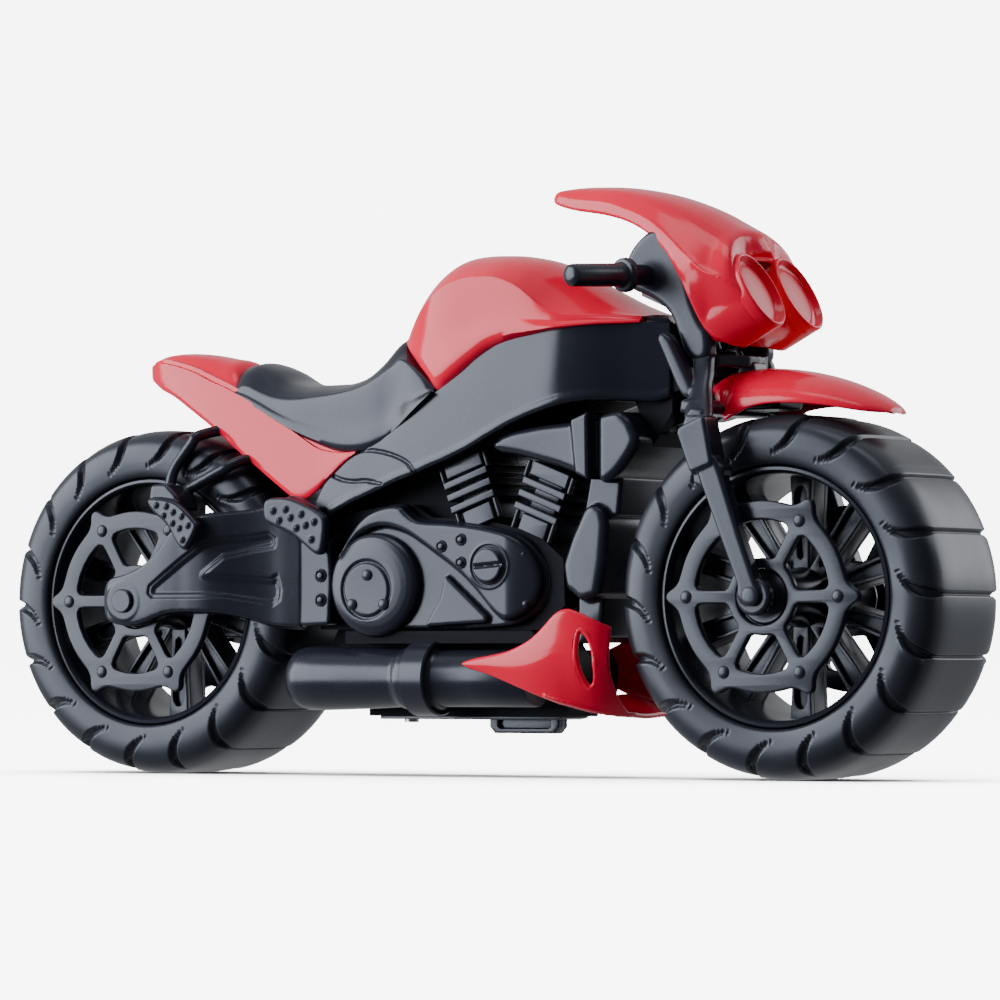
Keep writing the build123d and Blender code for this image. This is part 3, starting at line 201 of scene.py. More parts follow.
def plate(name, outline, ya, yb, bev=0.6, holes=(), res=3, rnd=0.0):
    """Plate in the XZ plane from y=ya to y=yb with rounded edges."""
    cu = bpy.data.curves.new(name, "CURVE")
    cu.dimensions = "2D"
    cu.fill_mode = "BOTH"
    for pts in [outline] + list(holes):
        if rnd and pts is outline:
            pts = round_poly(pts, rnd)
        sp = cu.splines.new("POLY")
        sp.points.add(len(pts) - 1)
        for q, p in zip(sp.points, pts):
            q.co = (p[0] * MM, p[1] * MM, 0, 1)
        sp.use_cyclic_u = True
    y0, y1 = min(ya, yb), max(ya, yb)
    bev = min(bev, (y1 - y0) * 0.49)
    cu.extrude = ((y1 - y0) / 2 - bev) * MM
    cu.bevel_depth = bev * MM
    cu.bevel_resolution = res
    cu.offset = -bev * MM
    o = bpy.data.objects.new(name, cu)
    bpy.context.scene.collection.objects.link(o)
    o = bake(o)
    me = o.data
    co = np.zeros(len(me.vertices) * 3)
    me.vertices.foreach_get("co", co)
    co = co.reshape(-1, 3)
    co = np.stack([co[:, 0], co[:, 2] + (y0 + y1) / 2 * MM, co[:, 1]], 1)
    me.vertices.foreach_set("co", co.ravel())
    fixn(o)
    return o


def revolve(name, prof, c, axis, n=96, closed=False):
    """prof is (distance along the axis, radius) pairs; c is where distance is 0."""
    ax = Vector(axis).normalized()
    e1 = ax.cross(Vector((0, 0, 1)))
    if e1.length < 1e-3:
        e1 = ax.cross(Vector((1, 0, 0)))
    e1.normalize()
    e2 = ax.cross(e1)
    V, F = [], []
    m = len(prof)
    for i in range(n):
        a = 2 * pi * i / n
        d = e1 * cos(a) + e2 * sin(a)
        for s, r in prof:
            p = Vector(c) + ax * s + d * r
            V.append(tuple(p))
    for i in range(n):
        i2 = (i + 1) % n
        for j in range(m if closed else m - 1):
            k = (j + 1) % m
            F.append((i * m + j, i * m + k, i2 * m + k, i2 * m + j))
    o = mk(name, V, F)
    bm = bmesh.new()
    bm.from_mesh(o.data)
    bmesh.ops.dissolve_degenerate(bm, dist=1e-7, edges=bm.edges)
    bmesh.ops.holes_fill(bm, edges=[e for e in bm.edges if e.is_boundary])
    bmesh.ops.recalc_face_normals(bm, faces=bm.faces)
    bm.to_mesh(o.data)
    bm.free()
    return o


def rod(name, a, b, r, bev=0.4, n=48):
    """Solid cylinder from a to b with rounded ends."""
    L = (Vector(b) - Vector(a)).length
    bev = min(bev, r * 0.9, L * 0.45)
    q = [(bev * (1 - cos(t)), r - bev * (1 - sin(t))) for t in [k * pi / 8 for k in range(5)]]
    prof = [(0, 0.0001)] + q + [(L - s, rr) for s, rr in reversed(q)] + [(L, 0.0001)]
    return revolve(name, prof, a, Vector(b) - Vector(a), n)


def rod_y(name, x, z, r, ya, yb, bev=0.4, n=48):
    return rod(name, (x, ya, z), (x, yb, z), r, bev, n)


def dome_y(name, x, z, r, y, h, sgn, n=32):
    """Low dome standing on the plane y, towards sgn."""
    prof = [(-0.6, 0.0001), (-0.6, r)] + [(h * sin(t), r * cos(t)) for t in [k * pi / 12 for k in range(6)]] + [(h, 0.0001)]
    return revolve(name, prof, (x, y, z), (0, sgn, 0), n)


def tube(name, path, r, n=16, closed=False, flat=1.0):
    """Round bar along a path in mm."""
    P = [Vector(p) for p in path]
    m = len(P)
    V, F = [], []
    up = Vector((0, 1, 0))
    for i, p in enumerate(P):
        t = (P[(i + 1) % m] - P[i - 1]) if (closed or 0 < i < m - 1) else (P[1] - P[0] if i == 0 else P[-1] - P[-2])
        t.normalize()
        e1 = up - t * up.dot(t)
        if e1.length < 1e-3:
            e1 = Vector((1, 0, 0)) - t * t.x
        e1.normalize()
        e2 = t.cross(e1)
        rr = r[i] if isinstance(r, (list, tuple)) else r
        for k in range(n):
            a = 2 * pi * k / n
            V.append(tuple(p + e1 * cos(a) * rr * flat + e2 * sin(a) * rr))
    for i in range(m if closed else m - 1):
        i2 = (i + 1) % m
        for k in range(n):
            k2 = (k + 1) % n
            F.append((i * n + k, i * n + k2, i2 * n + k2, i2 * n + k))
    if not closed:
        F.append(tuple(range(n)))
        F.append(tuple((m - 1) * n + k for k in reversed(range(n))))
    return mk(name, V, F)


def verts(o):
    co = np.zeros(len(o.data.vertices) * 3)
    o.data.vertices.foreach_get("co", co)
    nn = np.zeros(len(o.data.vertices) * 3)
    o.data.vertices.foreach_get("normal", nn)
    return co.reshape(-1, 3) / MM, nn.reshape(-1, 3)


def setv(o, co):
    o.data.vertices.foreach_set("co", (co * MM).ravel())
    o.data.update()


def seg_dist(P, a, b):
    a, b = np.array(a, float), np.array(b, float)
    d = b - a
    t = np.clip(((P - a) @ d) / max(d @ d, 1e-9), 0, 1)
    return np.linalg.norm(P - (a + t[:, None] * d), axis=1)


def engrave(o, line, width, depth, side=None, nmin=0.35, closed=False, plane=(0, 2)):
    """Sinks the surface along a line in the XZ plane. side -1 or 1 keeps to the right or left face."""
    co, nn = verts(o)
    P = co[:, list(plane)]
    d = np.full(len(P), 1e9)
    pts = list(line) + ([line[0]] if closed else [])
    for a, b in zip(pts[:-1], pts[1:]):
        d = np.minimum(d, seg_dist(P, a, b))
    w = np.clip(1 - d / width, 0, 1)
    w = w * w * (3 - 2 * w)
    if side is not None:
        w = w * (nn[:, 1] * side > nmin)
    setv(o, co - nn * (w * depth)[:, None])


def inside(P, poly):
    x, y = P[:, 0], P[:, 1]
    c = np.zeros(len(P), bool)
    q = list(poly)
    for (x1, y1), (x2, y2) in zip(q, q[1:] + q[:1]):
        hit = ((y1 > y) != (y2 > y)) & (x < (x2 - x1) * (y - y1) / ((y2 - y1) if abs(y2 - y1) > 1e-12 else 1e-12) + x1)
        c ^= hit
    return c


def sink(o, poly, depth, edge, side, nmin=0.35):
    """Sinks the area inside poly (XZ) by depth with soft edges; negative depth raises it."""
    co, nn = verts(o)
    P = co[:, [0, 2]]
    ins = inside(P, poly)
    d = np.full(len(P), 1e9)
    for a, b in zip(poly, list(poly[1:]) + [poly[0]]):
        d = np.minimum(d, seg_dist(P, a, b))
    w = np.where(ins, np.clip(d / edge, 0, 1), 0.0)
    w = w * w * (3 - 2 * w)
    w = w * (nn[:, 1] * side > nmin)
    co = co.copy()
    co[:, 1] -= side * w * depth
    setv(o, co)


def smooth_by_angle(o, ang=35):
    me = o.data
    me.polygons.foreach_set("use_smooth", [True] * len(me.polygons))
    bm = bmesh.new()
    bm.from_mesh(me)
    lim = rad(ang)
    for e in bm.edges:
        e.smooth = not (len(e.link_faces) == 2 and e.calc_face_angle(0) > lim)
    bm.to_mesh(me)
    bm.free()


def put(o, name, body, mat, reps=(), ang=35):
    o.name = name
    if ang is not None:
        smooth_by_angle(o, ang)
    else:
        o.data.polygons.foreach_set("use_smooth", [True] * len(o.data.polygons))
    o.data.materials.clear()
    o.data.materials.append(mat)
    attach(o, body)
    if reps:
        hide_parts(*reps)
    return o


# ------------------------------------------------------------------ materials
def nodes_of(m):
    m.use_nodes = True
    nt = m.node_tree
    for n in list(nt.nodes):
        nt.nodes.remove(n)
    out = nt.nodes.new("ShaderNodeOutputMaterial")
    b = nt.nodes.new("ShaderNodeBsdfPrincipled")
    nt.links.new(b.outputs[0], out.inputs[0])
    return nt, b


def plastic(name, col, rough=0.35, coat=0.0, coat_r=0.1, var=0.12, grain=900, bump=0.02, edge=0.25, edge_highlight_col=None, ior=1.48, big=30, blot=0.05, tint=(1.0, 1.0, 1.0)):
    """Moulded plastic: slight flow marks, fine mould grain, a painted highlight on convex edges, slightly uneven gloss.
    """
    m = bpy.data.materials.new(name)
    nt, b = nodes_of(m)
    N, L = nt.nodes.new, nt.links.new
    tc = N("ShaderNodeTexCoord")
    n1 = N("ShaderNodeTexNoise")
    n1.inputs["Scale"].default_value = big
    n1.inputs["Detail"].default_value = 4
    n2 = N("ShaderNodeTexNoise")
    n2.inputs["Scale"].default_value = grain
    n2.inputs["Detail"].default_value = 3
    L(tc.outputs["Object"], n1.inputs["Vector"])
    L(tc.outputs["Object"], n2.inputs["Vector"])
    dark = tuple(c * (1 - var) for c in col)
    lite = tuple(min(1, c * (1 + var)) for c in col)
    r1 = N("ShaderNodeValToRGB")
    r1.color_ramp.elements[0].position = 0.3
    r1.color_ramp.elements[0].color = (*dark, 1)
    r1.color_ramp.elements[1].position = 0.7
    r1.color_ramp.elements[1].color = (*lite, 1)
    L(n1.outputs["Fac"], r1.inputs["Fac"])
    # Painted highlight: where Pointiness marks a convex edge, the base colour is mixed towards a lighter edge colour,
    # standing in for light catching the edges.
    geo = N("ShaderNodeNewGeometry")
    edge_highlight_ramp = N("ShaderNodeValToRGB")
    edge_highlight_ramp.color_ramp.elements[0].position = 0.53
    edge_highlight_ramp.color_ramp.elements[0].color = (0, 0, 0, 1)
    edge_highlight_ramp.color_ramp.elements[1].position = 0.62
    edge_highlight_ramp.color_ramp.elements[1].color = (edge, edge, edge, 1)
    L(geo.outputs["Pointiness"], edge_highlight_ramp.inputs["Fac"])
    edge_highlight_mix = N("ShaderNodeMix")
    edge_highlight_mix.data_type = "RGBA"
    edge_highlight_rgb = edge_highlight_col or tuple(min(1, c * 1.9 + 0.03) for c in col)
    edge_highlight_mix.inputs[7].default_value = (*edge_highlight_rgb, 1)
    L(edge_highlight_ramp.outputs["Color"], edge_highlight_mix.inputs[0])
    L(r1.outputs["Color"], edge_highlight_mix.inputs[6])
    L(edge_highlight_mix.outputs[2], b.inputs["Base Color"])
    rr = N("ShaderNodeMapRange")
    rr.inputs["From Min"].default_value = 0.3
    rr.inputs["From Max"].default_value = 0.7
    rr.inputs["To Min"].default_value = rough - blot
    rr.inputs["To Max"].default_value = rough + blot
    L(n1.outputs["Fac"], rr.inputs["Value"])
    L(rr.outputs["Result"], b.inputs["Roughness"])
    bp = N("ShaderNodeBump")
    bp.inputs["Strength"].default_value = bump
    bp.inputs["Distance"].default_value = 0.0002
    L(n2.outputs["Fac"], bp.inputs["Height"])
    L(bp.outputs["Normal"], b.inputs["Normal"])
    b.inputs["IOR"].default_value = ior
    b.inputs["Specular Tint"].default_value = (*tint, 1)
    b.inputs["Coat Weight"].default_value = coat
    b.inputs["Coat Roughness"].default_value = coat_r
    return m


def metal(name, col, rough=0.3, scale=400):
    m = bpy.data.materials.new(name)
    nt, b = nodes_of(m)
    N, L = nt.nodes.new, nt.links.new
    tc = N("ShaderNodeTexCoord")
    n1 = N("ShaderNodeTexNoise")
    n1.inputs["Scale"].default_value = scale
    L(tc.outputs["Object"], n1.inputs["Vector"])
    r1 = N("ShaderNodeValToRGB")
    r1.color_ramp.elements[0].color = (*(c * 0.75 for c in col), 1)
    r1.color_ramp.elements[1].color = (*col, 1)
    L(n1.outputs["Fac"], r1.inputs["Fac"])
    L(r1.outputs["Color"], b.inputs["Base Color"])
    rr = N("ShaderNodeMapRange")
    rr.inputs["To Min"].default_value = rough * 0.7
    rr.inputs["To Max"].default_value = rough * 1.3
    L(n1.outputs["Fac"], rr.inputs["Value"])
    L(rr.outputs["Result"], b.inputs["Roughness"])
    b.inputs["Metallic"].default_value = 1.0
    return m


SHEEN = (0.78, 0.85, 1.0)
# The edge arguments give each material the strength and colour of its painted edge highlight.
RED = plastic("red_gloss", (0.95, 0.004, 0.050), 0.17, coat=0.0, coat_r=0.12, var=0.03, grain=600, bump=0.003, edge=0.12, edge_highlight_col=(0.98, 0.10, 0.12), blot=0.015)
LENS = plastic("lamp_face", (0.80, 0.022, 0.05), 0.35, coat=0.0, coat_r=0.15, var=0.05, grain=600, bump=0.004, edge=0.2, edge_highlight_col=(0.95, 0.2, 0.2), blot=0.02)
BLACK = plastic("black_abs", (0.016, 0.018, 0.029), 0.27, var=0.12, grain=1400, bump=0.03, edge=0.35, edge_highlight_col=(0.06, 0.062, 0.078), tint=SHEEN)
BLACK2 = plastic("black_abs_frame", (0.016, 0.018, 0.029), 0.25, var=0.10, grain=1200, bump=0.02, edge=0.3, edge_highlight_col=(0.06, 0.062, 0.078), tint=SHEEN)
SEAT = plastic("seat_black", (0.015, 0.017, 0.027), 0.25, var=0.12, grain=1500, bump=0.05, edge=0.25, edge_highlight_col=(0.05, 0.055, 0.07), tint=SHEEN)
WHEEL = plastic("wheel_plastic", (0.015, 0.017, 0.027), 0.28, var=0.12, grain=1300, bump=0.03, edge=0.35, edge_highlight_col=(0.06, 0.062, 0.078), tint=SHEEN)
TYRE = plastic("tyre_vinyl", (0.019, 0.021, 0.031), 0.34, var=0.16, grain=1100, bump=0.06, edge=0.35, edge_highlight_col=(0.065, 0.067, 0.08), big=45, blot=0.07, tint=SHEEN)
# Painted shade: a darker, less reflective copy of the black ABS for the inner parts, standing in for the shade they sit
# in deep inside the bike.
INNER_PAINTED_SHADE = plastic("black_abs_inner_painted_shade", (0.007, 0.008, 0.012), 0.5, var=0.12, grain=1300, bump=0.03, edge=0.2, edge_highlight_col=(0.03, 0.031, 0.04), tint=SHEEN)
for m_, lv in ((RED, 0.38), (INNER_PAINTED_SHADE, 0.06)):
    next(n_ for n_ in m_.node_tree.nodes if n_.type == "BSDF_PRINCIPLED").inputs["Specular IOR Level"].default_value = lv
NYLON = plastic("gear_nylon", (0.72, 0.69, 0.60), 0.45, var=0.05, grain=900, bump=0.03, edge=0.1)
PCB = plastic("board_green", (0.02, 0.16, 0.06), 0.4, var=0.2, grain=500, bump=0.05, edge=0.1)
CELL = plastic("cell_sleeve", (0.06, 0.11, 0.25), 0.3, var=0.1, grain=500, bump=0.01, edge=0.1)
STEEL = metal("steel", (0.55, 0.55, 0.57), 0.32)
BRASS = metal("brass", (0.72, 0.53, 0.24), 0.3)
MAT = {"red_plastic": RED, "tyre": TYRE, "gear_nylon": NYLON, "brass": BRASS, "steel": STEEL, "circuit_board": PCB, "battery_sleeve": CELL,
       "seat_plastic": SEAT, "switch_plastic": BLACK, "wheel_plastic": WHEEL, "black_plastic": BLACK}
SLOT = {s["node"]: s["material_slot"] for s in frame["record"]["subparts"]}
# The backbone, belly_pan and both crankcases get the darker painted-shade copy of the black ABS.
for n, o in NODE.items():
    o.data.materials.clear()
    o.data.materials.append(INNER_PAINTED_SHADE if n in ("backbone", "belly_pan", "crankcase_left", "crankcase_right") else MAT[SLOT[n]])
    bv = o.modifiers.new("edge", "BEVEL")
    bv.width = 0.35 * MM
    bv.segments = 2
    bv.limit_method = "ANGLE"
    bv.angle_limit = rad(40)


# ------------------------------------------------------------------ wheels
GROOVE0 = 0.8


def tyre(name, cx, body, rep):
    half = [(39.6, 17.6), (39.1, 19.6), (38.9, 21.2), (39.4, 22.1), (40.6, 22.5), (42.4, 22.75), (44.6, 22.9), (46.8, 22.75), (48.8, 22.3), (50.4, 21.5), (51.6, 20.4), (52.5, 19.0),
            (53.2, 17.2), (53.65, 15.2), (53.9, 12.5), (54.0, 9.0), (54.0, 4.5), (54.0, 0.0)]
    dense = catmull(half, 3, False)
    prof = [(r, -y) for r, y in dense] + [(r, y) for r, y in reversed(dense[:-1])]
    m = len(prof)
    NT = 1080
    th = np.arange(NT) * 2 * pi / NT
    P = np.array(prof)
    # arc length from the crown
    seg = np.linalg.norm(np.diff(P, axis=0), axis=1)
    s = np.concatenate([[0], np.cumsum(seg)])
    sc = s - s[m // 2]
    nrm = np.gradient(P, axis=0)
    nrm = np.stack([nrm[:, 1], -nrm[:, 0]], 1)
    nrm /= np.linalg.norm(nrm, axis=1)[:, None]
    if nrm[m // 2, 0] < 0:
        nrm = -nrm
    Rr, Yy = P[:, 0], P[:, 1]
    # groove: angle shift, half width in mm and depth against arc length from the crown
    a = np.abs(sc)
    shift = np.interp(a, [0, 17, 21, 24, 26.5, 28.5, 30, 31], [0, 0.0, 0.2, 0.8, 2.0, 4.0, 6.6, 9.6])
    hw = np.interp(a, [0, 15, 17, 20, 23, 26, 28.6, 30.6, 31.2], [0.45, 0.45, 0.8, 1.35, 1.45, 1.3, 1.0, 0.5, 0.0])
    dp = np.interp(a, [0, 15, 17, 20, 24, 28, 30.6, 31.2], [0.9, 0.9, 1.2, 2.0, 1.9, 1.5, 0.7, 0.0])
    D = np.zeros((NT, m))
    td = np.degrees(th)
    for k in range(18):
        c = GROOVE0 + 20 * k + shift
        da = (td[:, None] - c[None, :] + 180) % 360 - 180
        dist = np.abs(da) * pi / 180 * Rr[None, :]
        w = np.clip(1 - (dist - hw[None, :] * 0.72) / np.maximum(hw[None, :] * 0.5, 0.32), 0, 1)
        w = w * w * (3 - 2 * w)
        D = np.maximum(D, w * dp[None, :])
        # raised lip on the trailing side of each slot
        lip = np.exp(-((np.radians(da) * Rr[None, :] + hw[None, :] * 1.6) / 0.6) ** 2) * (a[None, :] > 20) * (a[None, :] < 30)
        D -= 0.3 * lip
    # block faces fall away a little towards their trailing groove
    ph = ((td - GROOVE0) % 20) / 20
    saw = (0.42 * ph ** 3)[:, None] * np.clip((22 - a) / 4, 0, 1)[None, :]
    D = D + saw
    rr = Rr[None, :] - D * nrm[None, :, 0]
    yy = Yy[None, :] - D * nrm[None, :, 1]
    X = cx + rr * np.cos(th)[:, None]
    Z = HUB_Z + rr * np.sin(th)[:, None]
    V = np.stack([X, yy, Z], -1).reshape(-1, 3)
    F = []
    for i in range(NT):
        i2 = (i + 1) % NT
        for j in range(m):
            k = (j + 1) % m
            F.append((i * m + j, i * m + k, i2 * m + k, i2 * m + j))
    o = mk(name, V.tolist(), F)
    return put(o, name, body, TYRE, (rep,), None)


def rim(name, cx, body, rep):
    prof = [(-17.9, 39.0), (-18.6, 39.0), (-20.4, 38.7), (-21.1, 38.2), (-21.3, 37.4), (-20.6, 36.7), (-18.5, 36.2), (-9, 35.6), (0, 35.4), (9, 35.6), (18.5, 36.2), (20.6, 36.7), (21.3, 37.4),
            (21.1, 38.2), (20.4, 38.7), (18.6, 39.0), (17.9, 39.0)]
    barrel = revolve("b", prof, (cx, 0, HUB_Z), (0, 1, 0), 160, closed=True)
    hubp = [(-29.2, 2.6), (-29.2, 3.8), (-28.9, 4.2), (-27.4, 4.3), (-27.2, 4.7), (-27.2, 7.5), (-26.8, 8.0), (-26.0, 8.4), (-12, 7.8), (-5, 9.0), (0, 10.0), (5, 9.0), (12, 7.8), (26.0, 8.4), (26.8, 8.0), (27.2, 7.5), (27.2, 4.7),
            (27.4, 4.3), (28.9, 4.2), (29.2, 3.8), (29.2, 2.6)]
    hub = revolve("h", hubp, (cx, 0, HUB_Z), (0, 1, 0), 96, closed=True)
    parts = [barrel, hub]
    for i in range(10):
        a = rad(90 + 36 * i)
        ca, sa = cos(a), sin(a)

        def tr(rw):
            return [(cx + r * ca - w * sa, HUB_Z + r * sa + w * ca) for r, w in rw]
        out = tr([(8.0, -2.6), (20, -2.9), (36.4, -3.6), (36.4, 3.6), (20, 2.9), (8.0, 2.6)])
        slot = [(12.0, -1.0), (20, -1.65), (29.0, -2.1), (31.2, -1.9), (32.6, -1.1), (33.0, 0.0), (32.6, 1.1), (31.2, 1.9), (29.0, 2.1), (20, 1.65), (12.0, 1.0), (11.2, 0.0)]
        parts.append(plate("sp", out, -3.4, 3.4, 0.3))
        for q in (-1, 1):
            parts.append(plate("sp", out, q * 3.3, q * 5.2, 0.3, holes=[tr(slot)]))
    o = join(parts)
    return put(o, name, body, WHEEL, (rep,), 35)


def rotor(name, cx, body, rep):
    out = []
    for k in range(6):
        for da, r in [(0, 32.4), (1.6, 32.2), (3.2, 31.4), (5.0, 30.1), (7.2, 29.1), (10.0, 28.45), (14, 28.2), (22, 28.15), (30, 28.15), (38, 28.15), (46, 28.2), (50.0, 28.45), (52.8, 29.1), (55.0, 30.1), (56.8, 31.4), (58.4, 32.2)]:
            a = rad(60 * k + da)
            out.append((cx + r * cos(a), HUB_Z + r * sin(a)))
    out = catmull(out, 2)
    holes = []
    for k in range(6):
        c = 30 + 60 * k
        w = []
        for r in (12.4, 16.0, 20.4, 21.6):
            w.append((r, 30 - math.degrees(math.asin(1.95 / r))))
        half = [(11.4, 0), (11.4, 12.0), (11.6, 17.0), (12.4, w[0][1]), (16.0, w[1][1]), (20.0, w[2][1] - 0.3), (21.5, w[3][1] - 0.9), (22.4, 21.5), (22.6, 18.0), (22.6, 9.0), (22.6, 0)]
        loop = [(r, d) for r, d in half] + [(r, -d) for r, d in reversed(half[1:-1])]
        holes.append([(cx + r * cos(rad(c + d)), HUB_Z + r * sin(rad(c + d))) for r, d in loop])
    holes.append([(cx + 8.4 * cos(t), HUB_Z + 8.4 * sin(t)) for t in [q * pi / 32 for q in range(64)]])
    parts, bolts = [], []
    for s in (-1, 1):
        parts.append(plate("d", out, s * 26.2, s * 28.8, 0.55, holes, 4))
        for k in range(6):
            a = rad(60 * k)
            bolts.append(revolve("b", [(28.2, 0.0001), (28.2, 2.0), (28.8, 1.98), (29.1, 1.75), (29.32, 1.2), (29.4, 0.5), (29.4, 0.0001)], (cx + 25.5 * cos(a), 0, HUB_Z + 25.5 * sin(a)), (0, s, 0), 28))
    put(join(bolts), name + "_bolts", body, WHEEL, (rep[:-1] + "_bolts",), 50)
    return put(join(parts), name, body, WHEEL, (rep,), 30)


for w, cx in (("front", HUB_X), ("rear", -HUB_X)):
    tyre("v_%s_tyre" % w, cx, w + "_wheel", w + "_tyre")
    rim("v_%s_rim" % w, cx, w + "_wheel", w + "_rim")
    rotor("v_%s_rotors" % w, cx, w + "_wheel", w + "_rotors")

# ------------------------------------------------------------------ fork
LEG = [(93.0, 95.0), (94.9, 90.0), (96.5, 85.6), (107.3, 59.5), (108.2, 57.0), (108.0, 54.6), (108.9, 52.8), (110.5, 51.9), (112.3, 51.9), (114.0, 52.8), (115.1, 54.4), (115.2, 56.2), (114.5, 57.6), (109.0, 72.0), (102.8, 89.8), (100.6, 95.0)]
UP = [(88.0, 102.4), (88.9, 103.9), (96.6, 107.2), (97.7, 106.6), (100.3, 93.6), (99.8, 92.6), (93.4, 90.2), (92.4, 90.9)]


def leg():
    a = plate("a", LEG, -35.5, -29.9, 1.0)
    b = plate("b", UP, -36.2, -27.5, 0.9, rnd=0.7)
    c = plate("c", [(92.6, 92.0), (93.2, 87.0), (96.0, 86.0), (102.9, 89.2), (103.3, 92.0), (99.9, 94.5)], -34.8, -28.5, 0.8, rnd=0.8)
    d = rod_y("d", HUB_X, HUB_Z, 5.6, -34.2, -29.9, 0.8)
    e = plate("e", [(87.4, 103.0), (88.9, 107.4), (91.0, 109.8), (95.0, 109.0), (96.8, 104.0)], -32.6, -28.6, 1.0, rnd=1.0)
    return mould([a, b, c, d, e], 0.36, 2)


lr = leg()
ll = mirror_copy(lr, "ll")
put(lr, "v_fork_leg_right", "fork", BLACK, ("fork_leg_right",), None)
put(ll, "v_fork_leg_left", "fork", BLACK, ("fork_leg_left",), None)
ax = join([rod_y("a", HUB_X, HUB_Z, 2.45, -34, 34, 0.2)] + [revolve("b", [(34.9, 0.0001), (34.9, 2.9), (35.6, 2.9), (35.9, 2.6), (36.05, 1.6), (36.1, 0.0001)], (HUB_X, 0, HUB_Z), (0, s, 0), 48) for s in (-1, 1)])
put(ax, "v_front_axle", "fork", BLACK, ("front_axle",), 40)

def neck(sg):
    """Waisted neck from the bracket plate down to the top of a fork leg."""
    secs = []
    for (x, y, z), a in (((86.6, 17.2, 125.6), 3.5), ((87.4, 18.4, 122.8), 3.1), ((88.4, 20.0, 119.8), 2.9), ((89.3, 22.6, 116.2), 2.9), ((90.6, 26.0, 112.0), 3.8), ((92.2, 29.6, 108.2), 4.4), ((92.8, 31.0, 106.8), 4.5)):
        secs.append([(x + dx * a, sg * (y + dy), z) for dx, dy in ((-1, 0), (-0.8, 2.0), (0, 2.3), (0.8, 2.0), (1, 0), (0.8, -2.0), (0, -2.3), (-0.8, -2.0))][::int(sg)])
    return spline_loft("n", secs, 4, 4)


GUS = [(74.4, 131.2), (76.8, 133.0), (79.8, 130.8), (87.6, 115.6), (86.6, 112.8), (84.0, 112.8), (82.0, 115.4)]
crown = mould([plate("a", [(78.0, 109.0), (82, 107.9), (93.4, 107.9), (95.0, 110.0), (92.0, 112.4), (86, 113.0), (79.0, 111.6)], -9.6, 9.6, 1.2, rnd=1.2),
               plate("w", [(84.6, 108.2), (93.0, 107.9), (94.2, 110.2), (91.6, 112.3), (85.2, 112.5)], -29.0, 29.0, 1.2, rnd=1.2),
               plate("g", GUS, -25.2, -19.8, 1.4, rnd=1.4), plate("g", GUS, 19.8, 25.2, 1.4, rnd=1.4), neck(1.0), neck(-1.0),
               plate("s", [(86.0, 113.0), (95.0, 112.0), (97.0, 119.0), (96.0, 124.5), (91.5, 125.0), (88.6, 118.0)], -4.5, 4.5, 1.2, rnd=1.2),
               plate("v", [(90.5, 109.6), (106.0, 109.8), (107.0, 113.0), (97.0, 117.4), (90.5, 117.4)], -8.0, 8.0, 1.0, rnd=1.0)], 0.5, 3)
put(crown, "v_fork_crown", "fork", BLACK, ("fork_crown",), None)

# ------------------------------------------------------------------ cowl bracket and handlebar
RIS = [(62.2, 146.6), (60.4, 150.4), (61.6, 156.0), (65.6, 161.0), (71.0, 163.8), (75.8, 161.4), (79.6, 155.0), (82.4, 148.2), (84.6, 141.4), (87.2, 136.0), (89.6, 132.4), (89.8, 126.2), (87.0, 124.0), (83.4, 124.9), (80.7, 128.0), (79.0, 132.6), (76.0, 138.6), (70.0, 143.2)]


def tongue(z0, z1, g):
    """Plan outline of the nose tongue from z0 to z1, g mm inset."""
    pl_ = [(82.8, -15.0), (90.2, -15.0), (93.6, -8.2), (95.3, -5.0), (96.0, 0.0), (95.3, 5.0), (93.6, 8.2), (90.2, 15.0), (82.8, 15.0), (82.8, 9.8), (88.0, 8.0), (89.6, 4.0), (89.8, 0.0), (89.6, -4.0), (88.0, -8.0), (82.8, -9.8)]
    return [(x - g, y * (1 - g * 0.05), z0 + (x - 84.0) * -0.04) for x, y in pl_], [(x - g, y * (1 - g * 0.05), z1 + (x - 84.0) * -0.04) for x, y in pl_]


t0, t1 = tongue(122.8, 126.6, 0.0)
br = mould([plate("a", catmull(RIS, 3), -20.2, -14.2, 1.8), plate("a", catmull(RIS, 3), 14.2, 20.2, 1.8), grid_loft("t", [t0, t1]),
            plate("d", [(64.0, 158.4), (71.0, 163.2), (75.6, 160.6), (79.6, 153.0), (75.0, 155.0)], -15.0, 15.0, 1.4, rnd=1.4)], 0.45, 4)
put(br, "v_cowl_bracket", "fork", BLACK, ("cowl_bracket",), None)

bd = Vector((-0.2466, -0.968, -0.0457)).normalized()
BX, BZ = 68.2, 150.2
hp = [(BX, 0, BZ), (BX, -8, BZ), (BX, -14, BZ), (BX - 0.05, -18.0, BZ), (BX - 0.8, -22.8, BZ - 0.15), (BX - 2.05, -27.6, BZ - 0.38)]
full = [(x, -y, z) for x, y, z in reversed(hp[1:])] + hp
put(tube("bar", catmull(full, 4, False), 3.15, 24), "v_handlebar", "fork", BLACK, ("handlebar",), 40)
g0 = Vector((BX, -19.5, BZ)) + bd * 7.6
GL = 24.7
gp = [(0, 0.0001), (0, 4.6), (0.5, 5.1), (1.2, 5.2), (2.3, 5.1), (2.9, 4.7), (3.1, 3.9), (3.8, 3.6), (6, 3.5), (14, 3.45), (22.5, 3.4), (23.8, 3.2), (24.4, 2.5), (GL, 1.4), (GL, 0.0001)]
gr = revolve("g", gp, tuple(g0), tuple(bd), 64)
gl = mirror_copy(gr, "gl")
gb = join([gr, gl])
gv, _ = verts(gb)
gv[:, 1] = np.clip(gv[:, 1], -51.07, 51.07)
setv(gb, gv)
put(gb, "v_handlebar_grips", "fork", SEAT, ("handlebar_grips",), 40)


